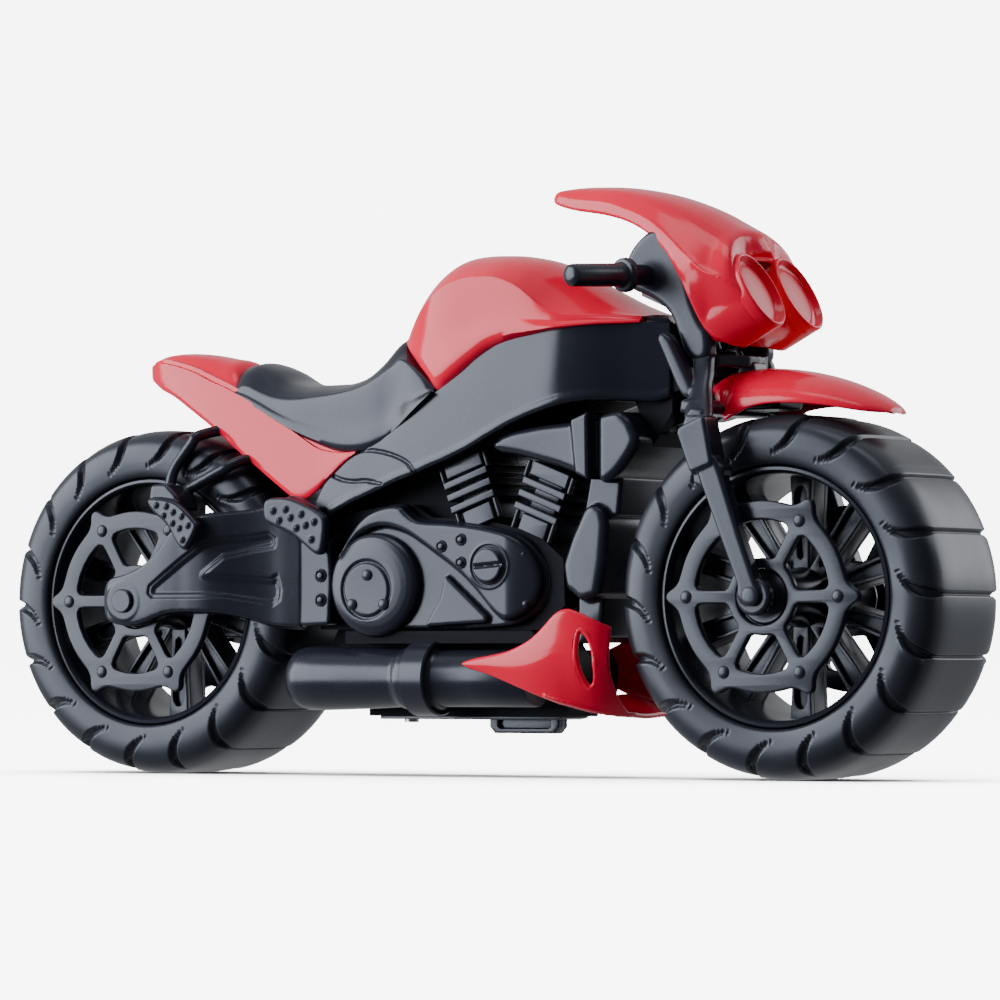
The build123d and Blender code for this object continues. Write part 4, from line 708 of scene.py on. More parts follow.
# ------------------------------------------------------------------ front cowl
def arch(x, zt, wt, zm, wm, zb, wb, th):
    zs = zt - (zt - zm) * 0.30
    o = [(x, -wb, zb), (x, -(wb + wm) / 2 - 0.25, (zb + zm) / 2), (x, -wm, zm), (x, -wm + 0.25, zm + 0.5), (x, -wt, zs), (x, -wt * 0.5, zt - (zt - zs) * 0.18), (x, 0, zt),
         (x, wt * 0.5, zt - (zt - zs) * 0.18), (x, wt, zs), (x, wm - 0.25, zm + 0.5), (x, wm, zm), (x, (wb + wm) / 2 + 0.25, (zb + zm) / 2), (x, wb, zb)]
    i = [(x, wb - th, zb), (x, wm - th, zm - 0.6), (x, wt - th * 0.8, zs - th), (x, 0, zt - th), (x, -wt + th * 0.8, zs - th), (x, -wm + th, zm - 0.6), (x, -wb + th, zb)]
    return o + i


COWL = [arch(28.8, 177.6, 6.8, 175.8, 8.2, 174.4, 8.6, 1.6), arch(31.0, 178.3, 8.0, 175.8, 9.4, 173.2, 9.6, 1.8), arch(38.5, 178.8, 9.4, 174.4, 11.6, 171.3, 11.8, 1.9),
        arch(50.7, 178.3, 11.4, 172.9, 14.6, 169.3, 14.8, 2.0), arch(60.0, 177.0, 12.8, 170.2, 16.8, 166.7, 17.0, 2.0), arch(68.0, 175.1, 14.0, 166.9, 18.8, 162.8, 18.9, 2.0),
        arch(75.0, 172.8, 15.0, 162.4, 20.6, 157.4, 20.8, 2.0), arch(81.0, 170.4, 15.8, 157.4, 22.2, 149.2, 22.4, 2.0), arch(84.6, 168.6, 16.2, 154.6, 23.0, 142.2, 22.4, 2.0), arch(87.6, 167.0, 16.4, 152.2, 23.4, 135.4, 20.6, 2.0),
        arch(91.0, 165.2, 16.4, 150.0, 23.3, 131.0, 18.2, 2.0)]
LN = Vector((0.872, 0, 0.490)).normalized()
POD = (102.8, 11.5, 145.2)
PW = 0.765


def pod_part(nm, prof, s, n=96):
    """Turned part on the lamp axis, narrowed sideways to an ellipse."""
    o = revolve(nm, prof, (POD[0], 0, POD[2]), tuple(LN), n)
    co, _ = verts(o)
    co[:, 1] = co[:, 1] * PW + POD[1] * s
    setv(o, co)
    return o




def lamp_pt(a, y, u):
    p = Vector((POD[0], 0, POD[2])) + LN * a + Vector((-LN.z, 0, LN.x)) * u
    return (p.x, y, p.z)


half = [(-1.0, 11.5, -12.4), (-1.0, 18.4, -8.0), (-1.0, 21.0, -0.8), (-1.0, 21.0, 0.8), (-1.0, 17.8, 8.6), (-0.6, 9.0, 12.9)]
front = [lamp_pt(a, -y, u) for a, y, u in half] + [(99.6, 0, 157.2)] + [lamp_pt(a, y, u) for a, y, u in reversed(half)]
inn = [(-1.6, 9.6, -10.4), (-1.6, 18.6, -0.6), (-1.6, 15.6, 7.2)]
front += [lamp_pt(a, y, u) for a, y, u in inn] + [lamp_pt(-1.6, 0, 10.6)] + [lamp_pt(a, -y, u) for a, y, u in reversed(inn)]
back = COWL[-1]
mid_ = [tuple(0.5 * (p + q) for p, q in zip(a_, b_)) for a_, b_ in zip(back, front)]
bulge = [(0, 0, 0), (0.3, 0.4, -0.3), (0.8, 0.7, 0), (0.8, 0.7, 0.3), (1.4, 0.6, 1.0), (1.6, 0.2, 1.3), (1.2, 0, 1.3)]
bl = bulge + bulge[-2::-1]
for k in range(13):
    sg = -1 if k < 6 else 1
    mid_[k] = (mid_[k][0] + bl[k][0], mid_[k][1] + sg * bl[k][1], mid_[k][2] + bl[k][2])
shell = spline_loft("shell", COWL + [mid_, front], 4, 3)
nose = []
for s in (-1, 1):
    nose.append(pod_part("pod", [(-24, 0.0001), (-24, 10.2), (-22, 11.4), (-14, 12.1), (-4, 12.5), (-2.0, 12.4), (-2.0, 0.0001)], s))
mid = []
for k, (sa, hy, hz) in enumerate([(-24, 13.0, 8.5), (-16, 15.0, 10.4), (-9, 15.0, 11.0), (-5.4, 13.4, 10.2), (-4.2, 10.0, 8.0)]):
    ring = []
    for q in range(32):
        a = 2 * pi * q / 32
        cy, cz = math.copysign(abs(cos(a)) ** 0.6, cos(a)) * hy, math.copysign(abs(sin(a)) ** 0.8, sin(a)) * hz
        p = Vector((POD[0], 0, POD[2])) + LN * sa + Vector((-LN.z, 0, LN.x)) * cz
        ring.append((p.x, cy, p.z))
    mid.append(ring)
nose.append(grid_loft("mid", mid))
nose = mould(nose, 0.55, 6)
keep = [(86.0, 175.0), (84.9, 142.0), (87.9, 135.2), (91.3, 130.8), (95.2, 128.4), (98.6, 127.6), (103.0, 129.0), (115.0, 134.0), (140.0, 140.0), (140.0, 175.0)]
kp = plate("keep", keep, -40, 40, 0.01, res=0)
bo = nose.modifiers.new("b", "BOOLEAN")
bo.operation = "INTERSECT"
bo.solver = "EXACT"
bo.object = kp
nose = bake(nose)
bpy.data.objects.remove(kp)
cowl = mould([shell, nose], 0.5, 8)
rims_ = []
for s in (-1, 1):
    rims_.append(pod_part("rim", [(-5.0, 11.9), (-3.0, 12.45), (-0.4, 12.6), (0.1, 12.5), (0.45, 12.15), (0.5, 11.8), (0.3, 11.45), (-0.4, 11.1), (-1.2, 10.5), (-1.6, 9.9), (-2.4, 9.6), (-5.0, 9.6), (-5.0, 11.9)], s, 128))
cowl = join([cowl] + rims_)
cv, _ = verts(cowl)
cv[:, 2] = np.minimum(cv[:, 2], 178.69)
setv(cowl, cv)
put(cowl, "v_front_cowl", "fork", RED, ("front_cowl",), 60)
ln = []
for s in (-1, 1):
    ln.append(pod_part("l", [(-3.0, 0.0001), (-3.0, 9.9), (-1.75, 10.0), (-1.45, 9.6), (-1.2, 7.8), (-1.0, 5.0), (-0.9, 2.4), (-0.88, 0.0001)], s))
put(join(ln), "v_headlight_lenses", "fork", LENS, ("headlight_lenses",), 45)


# ------------------------------------------------------------------ front mudguard
def guard(x, zt, hw, drop, th=1.5):
    o = [(x, -hw, zt - drop), (x, -hw * 0.93, zt - drop * 0.66), (x, -hw * 0.72, zt - drop * 0.34), (x, -hw * 0.4, zt - drop * 0.09), (x, 0, zt), (x, hw * 0.4, zt - drop * 0.09), (x, hw * 0.72, zt - drop * 0.34),
         (x, hw * 0.93, zt - drop * 0.66), (x, hw, zt - drop)]
    i = [(x, hw - th * 0.9, zt - drop - 0.1), (x, hw * 0.7, zt - drop * 0.40 - th), (x, 0, zt - th), (x, -hw * 0.7, zt - drop * 0.40 - th), (x, -hw + th * 0.9, zt - drop - 0.1)]
    return o + i


GUARD = [guard(86.0, 119.0, 11.0, 3.4), guard(89.0, 120.8, 14.6, 6.6), guard(92.0, 121.8, 17.0, 11.8), guard(93.6, 122.0, 17.4, 14.8), guard(95.4, 122.2, 17.7, 14.4), guard(99.0, 122.3, 17.9, 13.0), guard(103.0, 122.2, 18.0, 11.4),
         guard(110.0, 121.6, 18.0, 10.0), guard(118.0, 120.2, 17.6, 8.8), guard(126.0, 118.0, 16.4, 7.4), guard(133.0, 115.3, 14.2, 6.0), guard(138.0, 112.8, 11.4, 4.4), guard(141.0, 110.9, 8.0, 2.8), guard(142.6, 109.6, 4.6, 1.4)]
mg = spline_loft("mg", GUARD, 5, 4)
put(mg, "v_front_mudguard", "fork", RED, ("front_mudguard",), 50)


# ------------------------------------------------------------------ tank
def seam(x):
    return 135.1 - 0.90 * (x + 22.0)


TX = [-22.8, -20.4, -17.0, -12.6, -8.2, -3.4, 2, 9, 16, 24, 30, 35, 40, 46, 52, 58, 64]
T_LOW = {2: 121.4, 9: 126.3, 16: 130.6, 24: 133.1, 30: 134.1, 35: 135.0, 40: 135.7, 46: 136.3, 52: 136.8, 58: 137.0, 64: 137.2}
T_TOP = [136.0, 141.0, 147.6, 152.6, 156.0, 158.3, 159.2, 159.2, 158.7, 157.1, 154.9, 152.6, 149.9, 146.9, 143.9, 141.3, 139.3]
T_W = [9.0, 14.0, 17.6, 20.4, 22.2, 23.4, 24.1, 24.5, 24.9, 25.3, 25.6, 25.6, 25.2, 23.6, 21.4, 18.9, 16.2]
T_CR = [135.4, 134.6, 137.0, 141.0, 144.4, 147.4, 149.6, 151.0, 151.0, 148.6, 145.0, 141.6, 139.6, 139.0, 138.7, 138.4, 138.0]


def tank_sec(i):
    x, zt, w, zc = TX[i], T_TOP[i], T_W[i], T_CR[i]
    zl = T_LOW.get(x, seam(x)) - 1.0
    zl = min(zl, zc - 0.4)
    h = zt - zc
    wi = w * 0.86
    half = [(w - 0.6, zl), (w - 0.1, zl + (zc - zl) * 0.5), (w - 0.7, zc - 0.35), (w - 1.3, zc + 0.35), (w * 0.80, zc + h * 0.34), (w * 0.58, zc + h * 0.68), (w * 0.30, zt - h * 0.08)]
    return [(x, -y, z) for y, z in half] + [(x, 0, zt)] + [(x, y, z) for y, z in reversed(half)] + [(x, 0, zl)]


tk = spline_loft("tank", [tank_sec(i) for i in range(len(TX))], 5, 4)
put(tk, "v_fuel_tank", "chassis", RED, ("fuel_tank",), 50)

# ------------------------------------------------------------------ seat
SX = [-87.0, -86.0, -83.0, -79.0, -73.0, -67.0, -60.0, -51.0, -42.0, -34.5, -28.5, -23.0, -18.5, -13.0, -5.0]
S_LOW = [120.6, 119.4, 117.9, 116.2, 113.5, 110.4, 107.0, 103.4, 100.6, 99.8, 100.4, 102.2, 105.6, 110.2, 117.2]
S_EDGE = [121.6, 122.0, 122.6, 122.3, 119.9, 117.9, 117.0, 117.3, 118.0, 119.4, 121.8, 125.2, 127.4, 124.6, 118.3]
S_TOP = [125.6, 127.2, 128.4, 128.7, 126.6, 122.9, 121.4, 121.3, 121.7, 124.2, 129.3, 135.2, 131.0, 126.2, 118.6]
S_W = [11.0, 12.6, 14.0, 14.8, 15.8, 16.8, 17.8, 18.8, 19.8, 20.4, 20.6, 20.4, 20.8, 22.0, 23.0]


def seat_sec(i):
    x, zl, ze, zt, w = SX[i], S_LOW[i], S_EDGE[i], S_TOP[i], S_W[i]
    zl2 = zl - 0.8
    half = [(w + 0.8, zl2), (w + 1.0, zl2 + (ze - zl2) * 0.45), (w + 0.4, ze - 1.4), (w - 0.9, ze + 0.3), (w * 0.78, ze + (zt - ze) * 0.50), (w * 0.5, ze + (zt - ze) * 0.86)]
    return [(x, -y, z) for y, z in half] + [(x, 0, zt)] + [(x, y, z) for y, z in reversed(half)] + [(x, 0, zl2)]


st = spline_loft("seat", [seat_sec(i) for i in range(len(SX))], 5, 4)
put(st, "v_seat", "chassis", SEAT, ("seat",), 50)

# ------------------------------------------------------------------ tail
# x, crown z, crown half width, ledge z, panel top z, half width at the ledge, bottom z, half width at the bottom
TAIL = [(-122.0, 129.2, 2.6, 128.2, 127.6, 6.4, 125.2, 6.2), (-120.6, 131.0, 4.0, 129.8, 128.9, 8.0, 123.9, 8.0), (-116.0, 132.2, 6.0, 130.6, 129.3, 9.8, 121.4, 10.0), (-110.0, 132.6, 7.2, 129.6, 128.3, 11.2, 119.0, 11.8),
        (-102.0, 132.0, 8.2, 127.6, 126.1, 12.8, 114.6, 13.8), (-94.0, 130.6, 9.0, 124.6, 122.8, 14.2, 110.0, 15.6), (-88.0, 129.2, 9.6, 122.3, 120.6, 15.2, 106.2, 16.8), (-84.0, 124.0, 10.2, 120.6, 118.9, 15.8, 103.4, 17.6),
        (-78.0, 119.0, 11.0, 118.0, 116.2, 16.7, 99.6, 18.7), (-70.0, 114.4, 11.6, 113.7, 111.9, 17.8, 94.4, 20.0), (-62.0, 110.0, 12.0, 109.4, 107.6, 19.0, 89.2, 21.2), (-57.5, 107.0, 12.4, 106.8, 105.0, 19.6, 86.6, 21.8),
        (-53.5, 105.0, 12.6, 104.6, 102.8, 20.2, 86.2, 22.2), (-49.0, 103.0, 12.8, 102.4, 100.6, 20.8, 88.3, 22.4), (-44.0, 101.2, 13.0, 100.9, 99.6, 21.4, 92.0, 22.6), (-38.5, 100.2, 13.2, 100.1, 99.3, 22.0, 96.2, 22.6), (-34.0, 100.0, 13.4, 99.9, 99.5, 22.4, 98.9, 22.7)]


def tail_sec(t):
    x, zc, wc, zl, zp, w, zb, wb = t
    th = 1.9
    k = min(th, (zp - zb) * 0.4)
    half = [(wb, zb), ((wb + w) / 2 + 0.35, (zb + zp) / 2), (w + 0.35, zp - 0.5), (w + 0.15, zp), (w - 0.9, zp + 0.25), (w - 1.15, zl), (w - 2.2, zl + 0.15), (wc, zc - (zc - zl) * 0.35), (wc * 0.5, zc - (zc - zl) * 0.08)]
    inn = [(0, zl - 2.4), (w - th - 1.6, zl - 2.6), (w - th - 0.4, min(zp - 1.0, (zb + zp) / 2 + k)), (wb - th, zb + 0.1)]
    o = [(x, -y, z) for y, z in half] + [(x, 0, zc)] + [(x, y, z) for y, z in reversed(half)]
    i = [(x, y, z) for y, z in reversed(inn)] + [(x, -y, z) for y, z in inn[1:]]
    return o + i


tl = spline_loft("tail", [tail_sec(t) for t in TAIL], 5, 3)
put(tl, "v_tail_cowl", "chassis", RED, ("tail_cowl",), 45)

# ------------------------------------------------------------------ frame spars
SP = [(-50.0, 76.0, 84.0, 22.4, 21.8), (-46.0, 78.0, 90.6, 23.0, 22.0), (-42.0, 80.6, 94.0, 23.4, 22.2), (-36.0, 83.4, 98.3, 23.9, 22.4), (-30.0, 85.6, 101.0, 24.2, 22.6), (-24.0, 87.8, 103.9, 24.5, 22.8), (-18.0, 90.0, 107.8, 24.8, 23.0),
      (-12.0, 91.9, 112.0, 25.0, 23.2), (-5.0, 94.4, 117.2, 25.3, 23.4), (2.0, 96.8, 121.4, 25.6, 23.7), (9.0, 99.6, 126.2, 25.9, 24.0), (16.0, 103.0, 130.5, 26.2, 24.3), (23.0, 106.2, 132.9, 26.5, 24.6), (30.0, 108.8, 134.2, 26.8, 24.8),
      (36.0, 110.6, 135.2, 26.9, 24.9), (40.0, 111.7, 135.8, 26.6, 24.7), (43.0, 112.4, 136.1, 26.0, 24.2), (47.0, 113.0, 136.5, 24.8, 23.2), (52.0, 113.3, 136.8, 22.8, 21.3), (60.0, 113.0, 137.0, 18.8, 17.6), (68.0, 112.7, 137.0, 15.6, 14.8),
      (73.0, 114.0, 136.6, 13.8, 13.4)]


def spar_sec(t):
    x, zl, zh, yb, yt = t
    h = zh - zl
    lip = min(2.6, h * 0.3)
    yi = 11.6
    return [(x, -yi, zl + 2.4), (x, -yb + 3.4, zl + 1.0), (x, -yb + 1.0, zl - 0.2), (x, -yb - 0.1, zl + 0.4), (x, -yb - 0.3, zl + lip * 0.55), (x, -yb, zl + lip), (x, -yb + 0.25, zl + lip + 0.5), (x, -(yb * 0.6 + yt * 0.4), zl + h * 0.45),
            (x, -yt - 0.1, zh - 1.6), (x, -yt + 0.5, zh - 0.5), (x, -yt + 1.8, zh - 0.2), (x, -yi, zh - 0.2)]


sp = spline_loft("spar", [spar_sec(t) for t in SP], 5, 3)
sp = mould([sp], 0.42, 2)
for line in ([(-34.3, 99.2), (-29.3, 99.8), (-21.3, 98.6), (-14.3, 96.0), (-10.3, 92.4)], [(-44.3, 93.0), (-39.3, 91.0), (-34.3, 90.3), (-29.3, 90.4), (-23.3, 89.4)]):
    engrave(sp, catmull(line, 4, False), 0.75, 0.75, side=-1, nmin=0.2)
spl = mirror_copy(sp, "spl")
put(sp, "v_frame_right", "chassis", BLACK2, ("frame_right",), None)
put(spl, "v_frame_left", "chassis", BLACK2, ("frame_left",), None)

# ------------------------------------------------------------------ engine
C_OUT = [(-40, 66), (-37, 72), (-33, 77), (-28, 81), (-22, 83), (-16.6, 83), (-14.6, 80.8), (-10, 78.4), (0, 77.7), (10, 76.6), (20, 74.6), (26, 72), (30.5, 67.6), (33, 62), (33.4, 57), (31.4, 51.6), (27, 48), (22, 46), (8, 45.0), (-8, 45.0), (-20, 45.2),
         (-36, 46.5), (-41, 52), (-42, 60)]
C_TOP = [(-40, 66), (-37, 72), (-33, 77), (-28, 80.6), (-22, 82.4), (-17, 82.4), (-14.4, 80.2), (-10, 77.8), (0, 77.1), (10, 76.0), (20, 74.0), (25.6, 71.4), (29.6, 67), (31.8, 62), (32.0, 57), (30, 52.6), (26.4, 49.2), (22, 47.6), (18.8, 48.4), (15, 51.6), (10, 57),
         (5, 61.6), (0, 65.2), (-5, 68.4), (-10, 71.6), (-16, 74.8), (-24, 76.4), (-32, 73.6), (-38, 67)]
TRI = [(-1.0, 61.6), (14.4, 48.6), (14.0, 46.8), (-8.4, 45.6), (-6.4, 49.0), (-2.6, 54.6)]


def cover(s):
    parts = [plate("a", catmull(C_OUT, 3), s * 17.9, s * 21.4, 1.0), plate("b", catmull(C_TOP, 3), s * 18.5, s * 24.2, 1.6), plate("t", TRI, s * 19, s * 23.6, 0.9, rnd=1.4),
             rod_y("c", 15.5, 64.0, 7.0, s * 20, s * 24.7, 0.8)]
    o = mould(parts, 0.36, 2)
    co, nn = verts(o)
    # the front lobe falls away towards the wheel
    k = np.clip((co[:, 0] - 21.0) / 12.0, 0, 1)
    co[:, 1] -= s * (k ** 1.5) * 3.2 * (np.abs(co[:, 1]) > 18.6)
    setv(o, co)
    engrave(o, [(15.5 + 6.1 * cos(t), 64 + 6.1 * sin(t)) for t in [q * pi / 20 for q in range(40)]], 0.7, 0.8, side=s, closed=True)
    return o


cr = cover(-1)
cl = mirror_copy(cr, "cl")
put(join([cr, cl]), "v_primary_covers", "chassis", BLACK, ("primary_covers",), None)


def pulley(s):
    c = (-26.4, 0, 58.5)
    prof = [(19.5, 0.0001), (19.5, 16.0), (22.4, 16.0), (23.8, 15.6), (24.8, 14.6), (25.3, 13.0), (25.6, 11.0), (25.8, 8.8), (25.8, 0.0001)]
    a = revolve("p", prof, c, (0, s, 0), 120)
    o = mould([a], 0.36, 1)
    engrave(o, [(-28.0 + 8.6 * cos(t), 57.0 + 8.6 * sin(t)) for t in [q * pi / 30 for q in range(60)]], 0.9, 0.7, side=s, closed=True)
    return o


pr_ = pulley(-1)
pl_ = mirror_copy(pr_, "pl")
put(join([pr_, pl_]), "v_pulley_covers", "chassis", BLACK, ("pulley_covers",), None)

scr = []
for s in (-1, 1):
    b = mould([rod_y("s", 15.5, 64.0, 5.2, s * 24.0, s * 25.7, 0.6)], 0.3, 1)
    engrave(b, [(10.5, 63.6), (20.5, 64.4)], 1.0, 0.9, side=s)
    scr.append(b)
    for x, z in ((-1.5, 70.0), (5.5, 72.0), (5.5, 65.0)):
        scr.append(revolve("b", [(23.9, 0.0001), (23.9, 2.0), (24.5, 1.9), (24.7, 1.5), (24.4, 1.1), (24.9, 0.8), (25.1, 0.0001)], (x, 0, z), (0, s, 0), 28))
    for x, z in ((26.6, 67.4), (27.4, 52.4)):
        scr.append(dome_y("b", x, z, 1.3, s * 22.4, 0.8, s))
    for x, z in ((-27.5, 61.5), (-33.0, 52.5), (-21.5, 52.5)):
        scr.append(revolve("b", [(25.2, 0.0001), (25.2, 1.8), (26.2, 1.75), (26.6, 1.3), (26.7, 0.0001)], (x, 0, z), (0, s, 0), 28))
put(join(scr), "v_cover_screws", "chassis", BLACK, ("cover_screws",), 40)


def fin_cyl(x0, z0, ux, uz, L, fins, wf, w0, w1, s1):
    px, pz = uz, -ux

    def blk(n, sa, sb, w, hw, bev, rnd):
        return plate(n, [(x0 + ux * s_ + px * t, z0 + uz * s_ + pz * t) for s_, t in ((sa, -w), (sb, -w), (sb, w), (sa, w))], -hw, hw, bev, rnd=rnd)
    P = [blk("c", 0, L - 1, w0, 17.5, 0.5, 0), blk("h", s1, L, w1, 19.8, 0.5, 0.5), blk("b", 0, fins[0] - 1.5, w0 + 0.4, 19.6, 0.5, 0.5)]
    for f in fins:
        P.append(blk("f", f - 1.15, f + 1.15, wf, 20.8, 0.4, 0.5))
    for t in (-1, 1):
        for s_ in (-1, 1):
            a = (x0 + ux * (s1 - 1) + px * t * (w1 + 1.3), z0 + uz * (s1 - 1) + pz * t * (w1 + 1.3))
            b = (a[0] + ux * (L - s1 + 0.6), a[1] + uz * (L - s1 + 0.6))
            P.append(rod("r", (a[0], s_ * 19.2, a[1]), (b[0], s_ * 19.2, b[1]), 0.8, 0.2, 20))
            a = (x0 + px * t * (w0 + 2.2), z0 + pz * t * (w0 + 2.2))
            b = (a[0] + ux * (fins[0]), a[1] + uz * (fins[0]))
            P.append(rod("r", (a[0], s_ * 19.2, a[1]), (b[0], s_ * 19.2, b[1]), 0.8, 0.2, 20))
    return join(P)


put(fin_cyl(9.8, 76.6, -0.334, 0.9426, 21.4, (7.4, 11.2, 15.0), 8.2, 4.9, 6.9, 16.9), "v_cylinder_rear", "chassis", BLACK, ("cylinder_rear",), 35)
put(fin_cyl(27.4, 73.2, 0.36, 0.933, 21.6, (7.0, 11.0, 15.0), 8.0, 4.6, 6.9, 17.0), "v_cylinder_front", "chassis", BLACK, ("cylinder_front",), 35)

ab = mould([plate("a", [(15.6, 99.8), (19, 103.2), (24, 104.6), (34, 106.0), (45, 106.8), (50.8, 109.4), (51.2, 89.4), (47.6, 90.6), (40, 93.4), (30, 96), (25, 97.2), (19, 98)], -24.4, 24.4, 2.4, rnd=1.6),
            plate("b", [(52.9, 108.6), (60, 110.0), (64.4, 107.0), (67.2, 101.2), (65.0, 97), (60, 91), (55.4, 88), (52.9, 89.5)], -23.2, 23.2, 2.2, rnd=2.0),
            plate("c", [(50, 107), (54, 107), (54, 92), (50, 92)], -20.5, 20.5, 0.4),
            plate("d", [(44.6, 107.4), (50.8, 109.8), (51.2, 89.2), (46.4, 91.2)], -25.2, 25.2, 0.8, rnd=0.8)], 0.45, 3)
put(ab, "v_air_box", "chassis", BLACK, ("air_box",), None)
oc = mould([plate("a", [(39.4, 64), (42.4, 72), (47, 81), (50, 82.6), (54, 80.4), (55, 76), (54, 65), (52, 54.6), (46, 53), (40.6, 57)], -21.4, 21.4, 2.2, rnd=1.6),
            plate("b", [(45, 79), (57, 78.6), (58.4, 90.5), (47.5, 92.0)], -17.6, 17.6, 0.8, rnd=0.8), plate("c", [(42, 40.5), (50, 42), (51, 57), (42, 57)], -16.0, 16.0, 0.8, rnd=0.8)], 0.45, 2)
put(oc, "v_oil_cooler", "chassis", BLACK, ("oil_cooler",), None)

# ------------------------------------------------------------------ mufflers
mf = []
for s in (-1, 1):
    y = 19.4 * s
    prof = [(-58.0, 0.0001), (-58.0, 3.0), (-57.7, 5.6), (-56.8, 7.8), (-55.0, 9.2), (-52.0, 9.8), (-46, 9.9), (-30, 9.4), (-19, 8.9), (-17.6, 8.9), (-16.9, 9.4), (-15, 9.8), (-13.2, 9.8), (-4.6, 9.8), (-4.0, 9.0), (-3.2, 8.7), (10, 8.7), (29.5, 8.7), (30, 8.4),
            (30, 0.0001)]
    mf.append(revolve("m", [(a, r) for a, r in prof], (0, y, 30.0), (1, 0, 0), 96))
put(join(mf), "v_mufflers", "chassis", BLACK, ("mufflers",), 40)
bn = [revolve("b", [(-13.2, 9.4), (-13.2, 11.0), (-12.7, 11.5), (-4.9, 11.5), (-4.4, 11.0), (-4.4, 9.4)], (0, 19.4 * s, 30.0), (1, 0, 0), 96, closed=True) for s in (-1, 1)]
put(join(bn), "v_muffler_bands", "chassis", BLACK, ("muffler_bands",), 40)

# ------------------------------------------------------------------ belly spoiler
# stations along x: outer half width, z low, z high, and how far the lower edge tucks in
SPO = [(8.4, 28.6, 33.9, 34.9, 0.2), (12.0, 28.8, 32.6, 36.0, 0.5), (18.0, 29.1, 31.0, 37.0, 0.9), (25.0, 29.4, 28.4, 38.4, 1.4), (32.0, 29.5, 25.8, 41.4, 2.0), (37.0, 29.4, 24.0, 45.4, 2.8), (41.0, 29.2, 22.6, 49.2, 3.8), (44.5, 28.8, 21.6, 50.6, 5.0), (48.0, 28.2, 20.5, 49.8, 6.4),
       (51.5, 27.2, 19.6, 48.2, 8.0), (54.5, 25.6, 18.9, 46.6, 10.0), (57.0, 23.2, 18.5, 45.2, 12.4)]


def spo_sec(t, s):
    x, yo, zl, zh, tuck = t
    th = 1.6
    h = zh - zl
    o = [(x, yo - tuck, zl), (x, yo - tuck * 0.42, zl + h * 0.22), (x, yo, zl + h * 0.55), (x, yo - 0.4, zl + h * 0.85), (x, yo - 1.2, zh)]
    i = [(x, y - th, z + (0.6 if k == 0 else (-0.4 if k == 4 else 0))) for k, (x, y, z) in enumerate(o)]
    return [(x, s * y, z) for x, y, z in o + i[::-1]]


sides = []
for s in (-1, 1):
    sides.append(spline_loft("sp", [spo_sec(t, s) for t in SPO], 4, 3))
floor_ = []
for x, yo, zl, zh, tuck in SPO[5:]:
    floor_.append([(x, -(yo - tuck) + 0.6, zl), (x, -(yo - tuck) * 0.5, zl - 0.5), (x, 0, zl - 0.7), (x, (yo - tuck) * 0.5, zl - 0.5), (x, yo - tuck - 0.6, zl), (x, yo - tuck - 0.6, zl + 1.5), (x, 0, zl + 0.9), (x, -(yo - tuck) + 0.6, zl + 1.5)])
bot = spline_loft("bt", floor_, 3, 3)
spo = mould(sides + [bot], 0.42, 4)
hole = [(49.0, 44.4), (51.4, 43.2), (53.2, 38.6), (53.6, 33.2), (52.6, 28.6), (50.8, 27.2), (49.2, 29.6), (48.2, 34.0), (48.0, 40.0)]
bm = bmesh.new()
bm.from_mesh(spo.data)
hl = catmull(hole, 5)
PV = np.array([[v.co.x / MM, v.co.z / MM] for v in bm.verts])
ins = inside(PV, hl)
yv = np.array([abs(v.co.y) / MM for v in bm.verts])
bm.verts.ensure_lookup_table()
bmesh.ops.delete(bm, geom=[bm.verts[i] for i in np.nonzero(ins & (yv > 14))[0]], context="VERTS")
bm.to_mesh(spo.data)
bm.free()
for s in (-1, 1):
    pass
put(spo, "v_belly_spoiler", "chassis", RED, ("belly_spoiler",), None)
rims = []
for s in (-1, 1):
    ring = catmull([(x, z) for x, z in hole], 5)
    path = []
    for x, z in ring:
        yo = np.interp(x, [t[0] for t in SPO], [t[1] for t in SPO])
        tk_ = np.interp(x, [t[0] for t in SPO], [t[4] for t in SPO])
        zl = np.interp(x, [t[0] for t in SPO], [t[2] for t in SPO])
        zh = np.interp(x, [t[0] for t in SPO], [t[3] for t in SPO])
        f = (z - zl) / (zh - zl)
        y = yo - np.interp(f, [0, 0.22, 0.55, 0.85, 1.0], [tk_, tk_ * 0.42, 0, 0.4, 1.2]) - 0.8
        path.append((x, s * float(y), z))
    rims.append(tube("hr", path, 1.0, 10, closed=True))
put(join(rims), "v_spoiler_hole_rims", "chassis", RED, (), 60)

# ------------------------------------------------------------------ swingarm, right
ARM = [(-121.0, 49.6, 58.4, 29.9, 33.6), (-118.5, 47.4, 61.0, 29.6, 34.6), (-112.7, 46.3, 62.4, 29.6, 34.9), (-106.5, 46.9, 64.8, 29.6, 34.9), (-100.6, 49.0, 69.4, 29.6, 34.7), (-96.0, 50.2, 75.0, 29.6, 34.3), (-92.5, 50.4, 78.2, 29.6, 33.9), (-88.0, 50.4, 80.0, 29.6, 33.4),
       (-83.0, 50.3, 80.7, 29.6, 32.6), (-78.0, 49.9, 81.0, 28.6, 31.2), (-73.0, 49.0, 81.4, 24.8, 29.4), (-68.0, 47.6, 82.2, 23.2, 27.8), (-63.0, 46.3, 83.2, 23.0, 26.6), (-58.0, 45.7, 82.6, 22.8, 25.8), (-53.0, 45.5, 78.0, 21.0, 24.9)]


def arm_sec(t):
    x, zl, zh, yi, yo = t
    b = 1.5
    h = zh - zl
    return [(x, -yi, zl + 0.6), (x, -yo + b, zl), (x, -yo + 0.3, zl + 0.4), (x, -yo, zl + b), (x, -yo - 0.15, zl + h * 0.3), (x, -yo - 0.15, zl + h * 0.65), (x, -yo, zh - b), (x, -yo + 0.3, zh - 0.4), (x, -yo + b, zh), (x, -yi, zh - 0.6), (x, -yi, zl + h * 0.5)]


